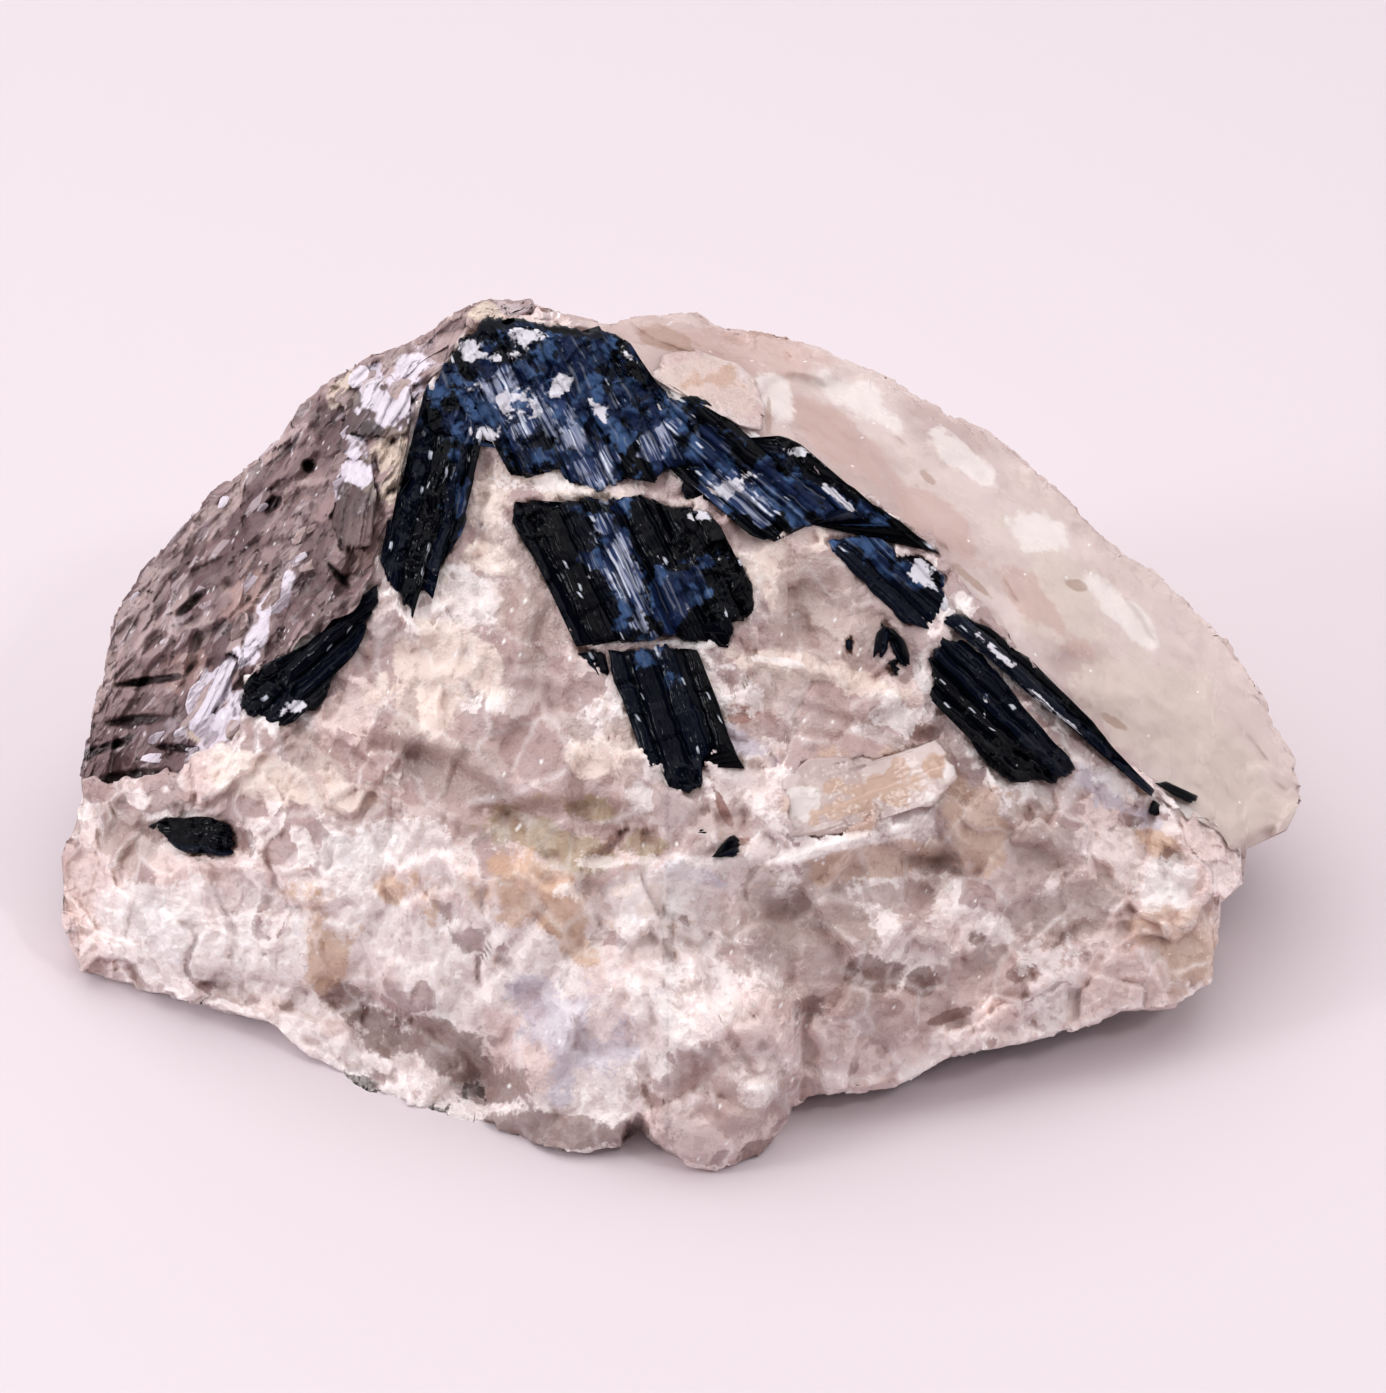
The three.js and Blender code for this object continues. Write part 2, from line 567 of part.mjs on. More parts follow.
// Cleaved grains and flakes of the rock's own minerals that stand out of it.
const GRAINS = {
  feldspar_knob: {
    outline: [
      [-2.4, 18.9], [-1.4, 20], [1.2, 20.1], [3.2, 19.2], [4.2, 17.2], [4.1, 15.7], [2.4, 16.2],
      [1.2, 17.7], [-0.8, 17.8],
    ],
    turn: 150, ribs: 2, lift: 1.2, channel: 21, host: SLOPE,
  },
  mica_book_upper: {
    outline: [[-20.4, 16], [-19.6, 18], [-17.5, 18.6], [-16.6, 16.6], [-17.4, 15.2], [-19.4, 15.1]],
    turn: 60, ribs: 3, lift: 1.3, channel: 22, host: FLANK,
  },
  mica_book_middle: {
    outline: [[-21.2, 10.6], [-20.6, 13.8], [-18.8, 14], [-18.3, 11.6], [-18.6, 8.8], [-20.6, 8.4]],
    turn: 80, ribs: 3, lift: 1.1, channel: 23, host: FLANK,
  },
  mica_lath: {
    outline: [[-27.2, 2.8], [-26.3, 2.4], [-28.4, -1.9], [-29.4, -1.6]],
    turn: 62, ribs: 1, lift: 1, channel: 24, host: FLANK,
  },
  quartz_block_front: {
    outline: [
      [5.6, -8.3], [5.2, -4.6], [7, -3.4], [11, -3.4], [14.4, -2.4], [15.6, -4.8], [14, -6.4],
      [11, -6.7], [8.6, -8.1],
    ],
    turn: 20, ribs: 2, lift: 0.9, channel: 27, host: FACE,
  },
};

// ---------------------------------------------------------------- assembly

const territory = territories();
const silhouette = outlinePrism(SILHOUETTE, BEHIND_ALL, ABOVE_ALL);
const pockets = wasm.Manifold.union([...Object.values(TOURMALINES), ...Object.values(GRAINS)].map(pocket));

// The rock: each mass in its own share of the plan, joined, then cut to the outline and the base.
function rock() {
  const shares = Object.entries(MASSES).map(([name, mass]) => massSolid(mass).intersect(territory[name]));
  const joined = wasm.Manifold.union(shares).trimByPlane([0, 0, 1], 0);
  return largest(joined.intersect(silhouette).subtract(pockets));
}

// ---------------------------------------------------------------- the group

const FINISH = {
  matrix: { color: 0xdccfc8, roughness: 0.6 },
  feldspar: { color: 0xe6d8d0, roughness: 0.6 },
  quartz: { color: 0xcfc8bd, roughness: 0.3 },
  mica: { color: 0x8f7f7c, roughness: 0.4 },
  tourmaline: { color: 0x10192f, roughness: 0.2 },
};

const specimen = new THREE.Group();

// Each node's finish is the first word of its name.
function place(name, solid) {
  const { vertProperties, triVerts } = solid.getMesh();
  const geometry = new THREE.BufferGeometry();
  geometry.setAttribute("position", new THREE.BufferAttribute(vertProperties, 3));
  geometry.setIndex(new THREE.BufferAttribute(triVerts, 1));
  geometry.computeVertexNormals();
  const finish = FINISH[name.split("_")[0]];
  const mesh = new THREE.Mesh(geometry, new THREE.MeshStandardMaterial({ ...finish, flatShading: true }));
  mesh.name = name;
  specimen.add(mesh);
}

place("matrix_rock", rock());

// The crown and its two arms have grown together, so they are one solid.
const { crown, leftArm, rightArm, ...separate } = TOURMALINES;
place("tourmaline_crown", largest(wasm.Manifold.union([crown, leftArm, rightArm].map(crystal))));
for (const [name, spec] of Object.entries({ ...separate, ...GRAINS })) place(name, crystal(spec));

export default specimen;
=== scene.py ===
# %% [markdown]
# # Blue tourmaline in quartz
# A hand specimen that was broken out of a coarse vein. Its rock is one piece with three faces: a
# granular white feldspar front, a glassy quartz back and a flank of flaky mica. Dark ribbed crystals
# of tourmaline fan out of the crest over the front. The CAD frame holds each of these at its real
# size. This lesson loads that frame and gives every piece the fine surface of a fresh break.

# %% Load the frame
import math

import bpy
import numpy as np
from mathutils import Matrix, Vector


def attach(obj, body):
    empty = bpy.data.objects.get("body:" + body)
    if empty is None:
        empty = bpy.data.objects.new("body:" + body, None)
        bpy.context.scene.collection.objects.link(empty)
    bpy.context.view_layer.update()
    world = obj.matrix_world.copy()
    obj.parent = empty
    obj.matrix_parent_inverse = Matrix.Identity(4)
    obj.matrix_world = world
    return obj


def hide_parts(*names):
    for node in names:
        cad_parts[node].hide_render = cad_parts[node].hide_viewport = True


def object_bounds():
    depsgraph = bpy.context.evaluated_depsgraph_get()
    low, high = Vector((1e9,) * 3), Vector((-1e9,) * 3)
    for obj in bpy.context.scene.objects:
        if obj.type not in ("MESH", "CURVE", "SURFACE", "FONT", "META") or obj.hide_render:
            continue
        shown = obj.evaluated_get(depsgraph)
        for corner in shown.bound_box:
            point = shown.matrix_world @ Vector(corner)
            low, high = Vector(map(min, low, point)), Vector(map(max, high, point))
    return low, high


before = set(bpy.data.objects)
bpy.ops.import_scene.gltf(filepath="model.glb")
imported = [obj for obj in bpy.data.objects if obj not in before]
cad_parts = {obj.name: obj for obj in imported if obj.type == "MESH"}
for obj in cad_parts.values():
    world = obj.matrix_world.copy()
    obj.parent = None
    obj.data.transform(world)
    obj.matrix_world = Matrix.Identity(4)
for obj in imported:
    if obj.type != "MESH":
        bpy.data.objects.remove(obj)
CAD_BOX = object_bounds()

print("nodes in the frame:", ", ".join(sorted(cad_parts)))
print("CAD box in mm:", [[round(c * 1000, 1) for c in corner] for corner in CAD_BOX])

# %% [markdown]
# The broken front leans back by 40 degrees. It is easiest to lay out in its own plane, as one would
# sketch it when looking straight at it: u runs right, v up the slope and w out towards the eye. All
# lengths in the layout are millimetres, and a mesh turns them into Blender's metres at the very end.

# %% The layout plane
MM = 0.001
FACE_PITCH = math.radians(40)
READING_DISTANCE = 250.0
CENTRE = np.array([0.79, -0.325, 15.0])
AXIS_U = np.array([1.0, 0.0, 0.0])
AXIS_V = np.array([0.0, math.sin(FACE_PITCH), math.cos(FACE_PITCH)])
AXIS_W = np.array([0.0, -math.cos(FACE_PITCH), math.sin(FACE_PITCH)])


def seen(u, v, w):
    """The point on the sight line through (u, v), w in front of the layout plane.
    Formula: centre + (1 - w / reading distance)(u, v along their axes) + w along its axis."""
    u, v, w = np.broadcast_arrays(*(np.asarray(x, float) for x in (u, v, w)))
    shrink = 1 - w / READING_DISTANCE
    across, up = (u * shrink)[..., None], (v * shrink)[..., None]
    return CENTRE + across * AXIS_U + up * AXIS_V + w[..., None] * AXIS_W


print("the layout's eye is at", np.round(seen(0, 0, READING_DISTANCE), 1), "mm")

# %% [markdown]
# A camera comes first, so that every later step can be looked at. It stands at the eye that the
# layout is drawn for, and its lens takes in a square of 81 mm at the specimen.

# %% Camera
VIEW_HEIGHT = 81.0
SENSOR = 36.0
IMAGE_SIZE = (1386, 1393)

camera = bpy.data.objects.new("camera", bpy.data.cameras.new("camera"))
bpy.context.collection.objects.link(camera)
camera.data.sensor_width = SENSOR
camera.data.lens = SENSOR * READING_DISTANCE / VIEW_HEIGHT
camera.data.clip_start = 0.01
camera.data.clip_end = 5
camera.location = (CENTRE + READING_DISTANCE * AXIS_W) * MM
camera.rotation_euler = (math.pi / 2 - FACE_PITCH, 0, 0)
bpy.context.scene.camera = camera
bpy.context.scene.view_settings.view_transform = "Standard"
print(f"lens {camera.data.lens:.0f} mm for an image of {IMAGE_SIZE[0]} by {IMAGE_SIZE[1]}")

# %% [markdown]
# The stage is a plain pale sheet. Light comes from a wide panel above and behind, from a smaller one
# on the left that draws highlights along the crystals' ribs, and from a pale surround. The surround
# is dim behind the eye, as where a photographer stands, which keeps the glassy crystals deep black.

# %% Floor and lights
FLOOR_COLOUR = (0.695, 0.62, 0.66, 1)
FLOOR_SIDE = 3.0
SURROUND = 0.97


def plain_material(name, tint, roughness):
    """A material of one colour, for what is only a backdrop."""
    material = bpy.data.materials.new(name)
    material.use_nodes = True
    shader = material.node_tree.nodes["Principled BSDF"]
    shader.inputs["Base Color"].default_value = tint
    shader.inputs["Roughness"].default_value = roughness
    return material


def area_light(name, place, aim, size, power, tint):
    """A square panel that shines from place towards aim."""
    light = bpy.data.objects.new(name, bpy.data.lights.new(name, "AREA"))
    light.data.shape = "SQUARE"
    light.data.size = size
    light.data.energy = power
    light.data.color = tint
    direction = np.array(aim) - np.array(place)
    pitch = math.atan2(math.hypot(direction[0], direction[1]), -direction[2])
    light.rotation_euler = (pitch, 0, math.atan2(direction[1], direction[0]) - math.pi / 2)
    light.location = place
    bpy.context.collection.objects.link(light)
    return light


half = FLOOR_SIDE / 2
floor_corners = [(-half, -half, 0), (half, -half, 0), (half, half, 0), (-half, half, 0)]
floor_mesh = bpy.data.meshes.new("floor")
floor_mesh.from_pydata(floor_corners, [], [(0, 1, 2, 3)])
floor = bpy.data.objects.new("floor", floor_mesh)
floor_mesh.materials.append(plain_material("pale sheet", FLOOR_COLOUR, 0.9))
bpy.context.collection.objects.link(floor)

area_light("key above", (-0.06, 0.03, 0.42), (0, 0, 0.01), 0.6, 1.35, (1, 0.985, 0.97))
area_light("side left", (-0.34, -0.10, 0.20), (0, 0, 0.015), 0.08, 0.42, (0.97, 0.98, 1))
area_light("glint right", (0.20, -0.15, 0.31), (0, 0, 0.015), 0.035, 0.2, (1, 1, 1))
world = bpy.data.worlds.new("pale surround")
world.use_nodes = True
world.node_tree.nodes["Background"].inputs["Color"].default_value = (1, 0.965, 0.98, 1)
tree = world.node_tree
direction = tree.nodes.new("ShaderNodeTexCoord").outputs["Generated"]
facing = tree.nodes.new("ShaderNodeVectorMath")
facing.operation = "DOT_PRODUCT"
facing.inputs[1].default_value = AXIS_W
tree.links.new(direction, facing.inputs[0])
dimmed = tree.nodes.new("ShaderNodeMapRange")
dimmed.interpolation_type = "SMOOTHSTEP"
dimming = {"From Min": 0.5, "From Max": 0.92, "To Min": SURROUND, "To Max": 0.05 * SURROUND}
for socket, value in dimming.items():
    dimmed.inputs[socket].default_value = value
tree.links.new(facing.outputs["Value"], dimmed.inputs["Value"])
tree.links.new(dimmed.outputs[0], tree.nodes["Background"].inputs["Strength"])
bpy.context.scene.world = world
print("floor", FLOOR_SIDE, "m wide;", len(bpy.data.lights), "panels and a surround")

# %% [markdown]
# A fresh break is neither smooth nor evenly rough: it steps from grain to grain. Two kinds of noise
# make that. Cell noise gives each grain its own height and its own tilt, with sharp steps between
# them. Value noise rolls smoothly. Both are worked out on whole arrays of points at once, from a
# formula for chance that always gives the same number at the same place.

# %% Noise on arrays of points


def chance(cell, channel):
    """A number from 0 to 1 for each whole-numbered cell: the fraction of a large multiple of a sine."""
    angle = cell[..., 0] * 127.1 + cell[..., 1] * 311.7 + cell[..., 2] * 74.7 + channel * 19.19
    x = np.sin(angle) * 43758.5453
    return x - np.floor(x)


NEIGHBOURS = np.stack(np.meshgrid(*[[-1, 0, 1]] * 3, indexing="ij"), -1).reshape(-1, 3)


def nearest_cells(points, size, channel):
    """The cell whose seed is nearest to each point, the way from that seed to the point, and the gap:
    the second least distance minus the least. A cell's seed sits at its own three chances."""
    q = points / size
    home = np.floor(q)
    first = np.full(q.shape[:-1], np.inf)
    second = first.copy()
    cell, way = np.zeros_like(q), np.zeros_like(q)
    for step in NEIGHBOURS:
        some = home + step
        away = q - some - np.stack([chance(some, channel + c) for c in range(3)], -1)
        distance = np.sqrt((away**2).sum(-1))
        closer = distance < first
        second = np.where(closer, first, np.minimum(second, distance))
        first = np.where(closer, distance, first)
        cell[closer], way[closer] = some[closer], away[closer]
    return cell, way, second - first


def facet_lift(points, size, lift, slope, channel):
    """Broken facets: every cell has a height and a tilt of its own.
    Formula: lift times (chance - 1/2 + slope times the tilt along the way from the seed)."""
    cell, way, _ = nearest_cells(points, size, channel)
    tilt = np.stack([chance(cell, channel + c) - 0.5 for c in (4, 5, 6)], -1)
    return lift * (chance(cell, channel + 3) - 0.5 + slope * (tilt * way).sum(-1))


def grain_tone(points, size, channel):
    """The tone from 0 to 1 of the facets that facet_lift makes from the same numbers, and a line that
    is 1 on the border between two of them: e to the power of minus (gap / 0.07) squared."""
    cell, _, gap = nearest_cells(points, size, channel)
    return chance(cell, channel + 8), np.exp(-((gap / 0.07) ** 2))


def smooth_noise(points, size, channel):
    """Rolling noise from -1 to 1: the chances at a cell's eight corners, blended by smoothed fractions."""
    q = points / size
    home = np.floor(q)
    f = q - home
    f = f * f * (3 - 2 * f)
    total = np.zeros(q.shape[:-1])
    for corner in np.stack(np.meshgrid(*[[0, 1]] * 3, indexing="ij"), -1).reshape(-1, 3):
        weight = np.prod(np.where(corner, f, 1 - f), -1)
        total += weight * chance(home + corner, channel)
    return 2 * total - 1


def rough_noise(points, size, octaves, channel):
    """Several sizes of rolling noise added up, each half as long and half as high as the one before."""
    return sum(smooth_noise(points, size / 2**k, channel + 7 * k) / 2**k for k in range(octaves))


def warped(points, size, amount, channel):
    """Points pushed about by rolling noise, so that what is drawn from them has uneven edges."""
    push = [smooth_noise(points, size, channel + 3 * k) for k in range(3)]
    return points + amount * np.stack(push, -1)


def lumps(points, size, lift, channel):
    """Rounded grains: lift times (1/2 - the squared distance from the nearest seed, in cells)."""
    _, way, _ = nearest_cells(points, size, channel)
    return lift * (0.5 - (way**2).sum(-1))


def sprinkled(shape, share, channel):
    """1 at the few points of a grid whose chance is within the share, and 0 at all the others."""
    i, j = np.indices(shape).astype(float)
    return (chance(np.stack([i, j, 0 * i], -1), channel) < share) * 1.0


def blurred(grid, passes):
    """A grid smoothed by averaging each value with its neighbours along both parameters, many times."""
    for _ in range(passes):
        padded = np.pad(grid, 1, mode="edge")
        grid = (padded[:-2, 1:-1] + padded[2:, 1:-1] + padded[1:-1, :-2] + padded[1:-1, 2:]) / 4
    return grid


print("cells searched round each point:", len(NEIGHBOURS))

# %% [markdown]
# The three minerals break to different large shapes. Each shape is given by its corners and filled
# by its convex hull, whose flat faces are the main faces of the break. The corners are the ones of
# the CAD frame, so the fine surface keeps the frame's size and its faces.

# %% Corners of the rock
def hull_corners(layout, box):
    """Corners in two lists: as (u, v, w) of the layout, and for the back and the base as (x, y, z),
    with x and y from the layout's centre and z from the base."""
    return [*seen(*np.array(layout).T), *(np.array(box) + [CENTRE[0], CENTRE[1], 0])]


FRONT_CORNERS = hull_corners(
    [
        (-9, 24.5, 3), (-16.5, 20, 1.8), (-20, 10.5, 3.2), (-28.5, 0, 2), (-37, -5, -3.6),
        (-37.4, -12.5, -4), (-36.5, -16.5, -4.5), (2.5, 19, 4), (15, 11, 3.2), (25.5, -1, 1.8),
        (32.5, -7.5, -0.5), (33, -10.5, -1.5), (31, -12.5, 1.2), (30.8, -17.5, 2), (24, -19.4, 4.2),
        (10, -23.4, 6.4), (-22, -7, 6.5), (-5, -9.5, 11), (6, -9.5, 11.3), (17, -6, 8), (-25, -19.5, -2),
        (-17, -23.8, 2.8),
    ],
    [
        (-6.6, 11.9, 26), (23.4, 4.9, 6), (-30.6, 5.9, 3), (-0.6, 8.9, -1), (-32.6, -2.1, -1),
        (11.4, -9.1, -1),
    ],
)
FOOT_CORNERS = hull_corners(
    [
        (0.6, -28.3, 7.6), (-3.5, -26.8, 7), (5.3, -26, 5.5), (6, -23.4, 6), (5, -19, 11), (-4, -17, 11),
        (-12, -25.4, 5), (-7, -26.8, 7),
    ],
    [
        (-0.6, 4.9, -1), (-4.6, 2.9, 18), (-16.6, -5.1, 8), (11.4, -5.1, 8),
    ],
)
QUARTZ_CORNERS = hull_corners(
    [
        (-7, 20, 3), (-0.5, 22.8, -4), (4, 21.8, -6), (8.5, 20.6, -8), (12.5, 18.6, -9), (18.5, 15, -9.5),
        (23, 10.9, -9.5), (27.6, 7.6, -9), (32, 2.8, -8), (34.6, -2, -6.5), (36, -6, -4.5),
        (35.2, -8.5, -3.5), (32.6, -9.8, -2), (0.5, 15.2, 7), (11.6, 8.1, 7.2), (21.6, -3.7, 5),
        (29.7, -9.4, 1.6),
    ],
    [
        (-8, 21.6, 22), (8.4, 23.5, 12), (-13.6, 22, 6), (23.4, 19, 9), (5.4, 21.9, -1), (-14, 19.5, -1),
        (20.4, 16.5, -1), (30.9, 4.9, 3.5), (23.4, 3.5, -1), (11.4, -7.1, -1), (-14.6, -1.1, -1),
    ],
)
MICA_CORNERS = hull_corners(
    [
        (-9, 23.8, 3), (-7, 23.4, -1), (-15, 21.8, -0.5), (-18.5, 20.8, -3), (-22, 18.9, -5),
        (-25, 15.2, -6.5), (-29, 11.8, -8), (-32, 8, -8), (-34.5, 4.2, -8), (-35.4, 0, -7),
        (-36.4, -4.8, -5.5), (-13.3, 17.6, 4.7), (-16.7, 9, 6), (-23.8, 0, 5), (-32, -6.4, -1),
    ],
    [
        (-4, 19, 26), (-14, 22, 17), (-15, 22, 5), (-28, 15, 6), (-34.1, 4.5, 4), (-14, 19, -1),
        (-30.6, -1.1, -1), (-4.6, 2.9, -1), (-4.6, 6.9, 22), (-4, 21.5, 6), (-4, 19.5, -1),
    ],
)


def hull_planes(points, grow=0.6):
    """The faces of the points' convex hull, as unit normals and distances, moved out by grow.
    A face is a triple of points with all the others on one side of its plane."""
    points = np.array(points)
    i, j, k = (index.ravel() for index in np.meshgrid(*[np.arange(len(points))] * 3, indexing="ij"))
    keep = (i < j) & (j < k)
    a, b, c = points[i[keep]], points[j[keep]], points[k[keep]]
    normal = np.cross(b - a, c - a)
    normal /= np.linalg.norm(normal, axis=1, keepdims=True) + 1e-12
    side = points @ normal.T - (a * normal).sum(1)
    outward = (side < 1e-4).all(0)
    inward = (side > -1e-4).all(0)
    normals = np.concatenate([normal[outward], -normal[inward]])
    on_plane = np.concatenate([a[outward], a[inward]])
    return normals, (on_plane * normals).sum(1) + grow


ALL_CORNERS = (FRONT_CORNERS, FOOT_CORNERS, QUARTZ_CORNERS, MICA_CORNERS)
FRONT, FOOT, QUARTZ, MICA = (hull_planes(points) for points in ALL_CORNERS)
print("main faces of front, foot, quartz and mica:", [len(hull[1]) for hull in (FRONT, FOOT, QUARTZ, MICA)])
LEAST_FACING = 0.05


def crossings(hull, u, v):
    """Where each sight line enters and leaves a hull: the least of the facing planes' depths, and the
    greatest of the others'. A plane's depth solves normal . (start + w line) = distance."""
    normals, distances = hull
    start, line = seen(u, v, 0), seen(u, v, 1) - seen(u, v, 0)
    entry = np.full(np.shape(u), np.inf)
    leave = np.full(np.shape(u), -np.inf)
    for normal, distance in zip(normals, distances):
        facing = line @ normal
        depth = (distance - start @ normal) / np.where(np.abs(facing) < 1e-9, 1e-9, facing)
        entry = np.where(facing > LEAST_FACING, np.minimum(entry, depth), entry)
        leave = np.where(facing < -LEAST_FACING, np.maximum(leave, depth), leave)
    return entry, leave


def floor_depth(v):
    """The depth at which the sight line reaches the ground, where z is nothing."""
    return -(CENTRE[2] + AXIS_V[2] * v) / (AXIS_W[2] - AXIS_V[2] * v / READING_DISTANCE)


# %% [markdown]
# The outline and the two seams between the minerals are drawn in the layout, as lines from left to
# right. Above and below each place along u there is then one stretch of v that belongs to each
# mineral, and that stretch is one of the two parameters of its surface.

# %% Outline and seams
UPPER_EDGE = np.array([
    (-36.6, -9.4), (-35.6, -6.5), (-35.4, -4.5), (-34.8, -1.5), (-34.1, 1.5), (-33.5, 4.6), (-32, 7),
    (-30.2, 9.2), (-27.5, 12), (-25, 13.8), (-23.9, 14.9), (-22.8, 16.8), (-21, 18.3), (-18.5, 19.8),
    (-16, 20.5), (-14, 22), (-12, 23), (-9, 23), (-7.4, 22.1), (-5, 21.5), (-2.6, 22), (0, 22.2),
    (1.5, 21.2), (4, 21), (7, 20.4), (9, 19.5), (12, 18), (15, 16.2), (17, 15.3), (19, 13.8), (21, 12),
    (24, 8.8), (26, 7.6), (28.5, 5.5), (31, 3), (32, 1.5), (33.5, -1), (34.8, -3.5), (35.4, -6),
])
LOWER_EDGE = np.array([
    (-36.6, -12.9), (-35.5, -16), (-30, -17.4), (-24.5, -18.8), (-22.5, -20.5), (-20, -22), (-17, -23.4),
    (-14, -24.3), (-11, -25), (-9, -26), (-6, -26.4), (-4, -26), (-3.2, -25), (-2, -26), (0, -27.3),
    (1.5, -27.5), (4, -26.5), (5.3, -25), (5.6, -23.6), (7, -23.1), (10, -22.8), (12, -22.3), (15, -20.8),
    (18, -20.2), (22, -19.3), (25, -18.2), (28, -17.8), (30.2, -16.6), (30.5, -11.8), (32, -10.7),
    (32.2, -9.1), (34.5, -8), (35.4, -6.2),
])
SEAM = np.array([
    (-40, -5.6), (-30.5, -4.6), (-26.4, -2.2), (-26.1, 1.2), (-19.4, 5.6), (-17.6, 10), (-16.2, 17),
    (-13, 21.8), (-7, 22.4), (-2.6, 18.6), (1, 17.2), (3.6, 15.2), (13.6, 9.3), (18.6, 3), (24.4, -3.4),
    (30.6, -8), (36, -12),
])


def line_at(line, u):
    """The height v of a line of (u, v) points at each u."""
    return np.interp(u, line[:, 0], line[:, 1])


def ragged(line_v, u, size, channel):
    """A line's heights with the small steps of a break added along it."""
    place = np.stack([u, np.zeros_like(u), np.zeros_like(u)], -1)
    steps = facet_lift(place, 1.6, 0.5 * size, 1.5, channel)
    return line_v + steps + 0.5 * size * smooth_noise(place, 0.6, channel + 9)


print(f"outline from {UPPER_EDGE[0, 0]} to {UPPER_EDGE[-1, 0]} mm in u")

# %% [markdown]
# Colours and small forms follow the minerals' own patches: a grey grain of quartz, a rusty spot, a
# ledge. Each is an oval with a centre, two half lengths and a turn. A field of ovals is positive
# inside them and falls through nothing at their edges, which a material can then roughen.

# %% Ovals


def oval_field(u, v, ovals):
    """The greatest of 1 - r over some ovals, where r is the distance in half lengths from the centre."""
    field = np.full(np.shape(u), -1.0)
    for cu, cv, long, high, turn in ovals:
        a = math.radians(turn)
        along = ((u - cu) * math.cos(a) + (v - cv) * math.sin(a)) / long
        across = ((v - cv) * math.cos(a) - (u - cu) * math.sin(a)) / high
        field = np.maximum(field, 1 - np.hypot(along, across))
    return np.clip(field, -1, 1)


def ragged_fields(u, v, patches, size, raggedness):
    """A field for each kind of patch: its ovals, with their edges swung in and out by rough noise."""
    place = np.stack([u, v, np.zeros_like(u)], -1)
    fields = {}
    for number, (name, ovals) in enumerate(patches.items()):
        swing = rough_noise(place, size, 3, 501 + 31 * number)
        fields[name] = oval_field(u, v, ovals) + raggedness * swing
    return fields


def oval_lift(u, v, forms):
    """The sum of some ovals' lifts: full inside each, and falling smoothly to nothing over its rim."""
    total = np.zeros(np.shape(u))
    for cu, cv, long, high, turn, lift in forms:
        rim = np.clip((oval_field(u, v, [(cu, cv, long, high, turn)]) + 0.15) / 0.55, 0, 1)
        total += lift * rim * rim * (3 - 2 * rim)
    return total


FRONT_FORMS = [
    (-7.5, -7.9, 7, 2, 0, -1.2), (10, -11.5, 7, 2.2, 14, -1.1), (9.5, -5.6, 6, 3, 14, 1.2),
    (-27, -12.5, 8, 4, -10, 0.8), (-29, -8, 3.2, 1.4, -12, -1), (-16, -20.2, 6.5, 1.7, -33, -1.2),
    (-3.3, -26.2, 0.9, 1.8, 0, -3.5), (-14.5, -5, 6, 1.5, -25, -1), (19, -17, 4, 1.8, 20, 0.9),
    (-2.8, -8.4, 2.4, 1.1, 30, 0.6), (-3.5, -10.2, 3, 0.6, 4, 0.3), (8, -8.9, 5, 0.5, 15, 0.5),
    (13.5, -10, 1.6, 3, -20, -0.8), (3.2, -13.3, 1.5, 1.4, 0, 0.7), (1.5, -22, 4.4, 4.8, 0, 0.8),
    (-1.2, -17.5, 3.4, 0.5, -42, -0.5), (2.4, -20.2, 3, 0.4, -55, -0.4), (22, -15.6, 4, 1.4, 18, 0.7),
    (27.8, -14.4, 2.6, 3, 0, 0.8), (-24, -17.4, 6, 1, -14, -0.9), (-10.4, -14.5, 3, 0.6, 50, -0.5),
    (-20, -3.5, 6, 0.6, -34, -0.7), (6.8, 5, 2.6, 2.4, -20, -0.6), (-9.6, 5.6, 1.7, 3.6, 16, -0.6),
    (21, -7.4, 5, 1.6, -28, 0.6), (28.6, -9.4, 2.4, 1.6, -30, 0.6),
]
print(len(FRONT_FORMS), "forms on the front")

# %% [markdown]
# The crystals are drawn next, because the rock gives way beneath them. A tourmaline crystal is a
# bundle of long columns that share one axis. Each bundle here has the turn of its axis in degrees,
# its lift over the face of the rock, the usual width of its columns and its outline in the layout.

# %% Outlines of the crystals
def crystal(turn, lift, width, channel, outline, **more):
    """One bundle of columns. Its channel picks the chances that it draws."""
    settings = {"turn": turn, "lift": lift, "width": width, "channel": channel}
    return {"outline": outline, **settings, **more}


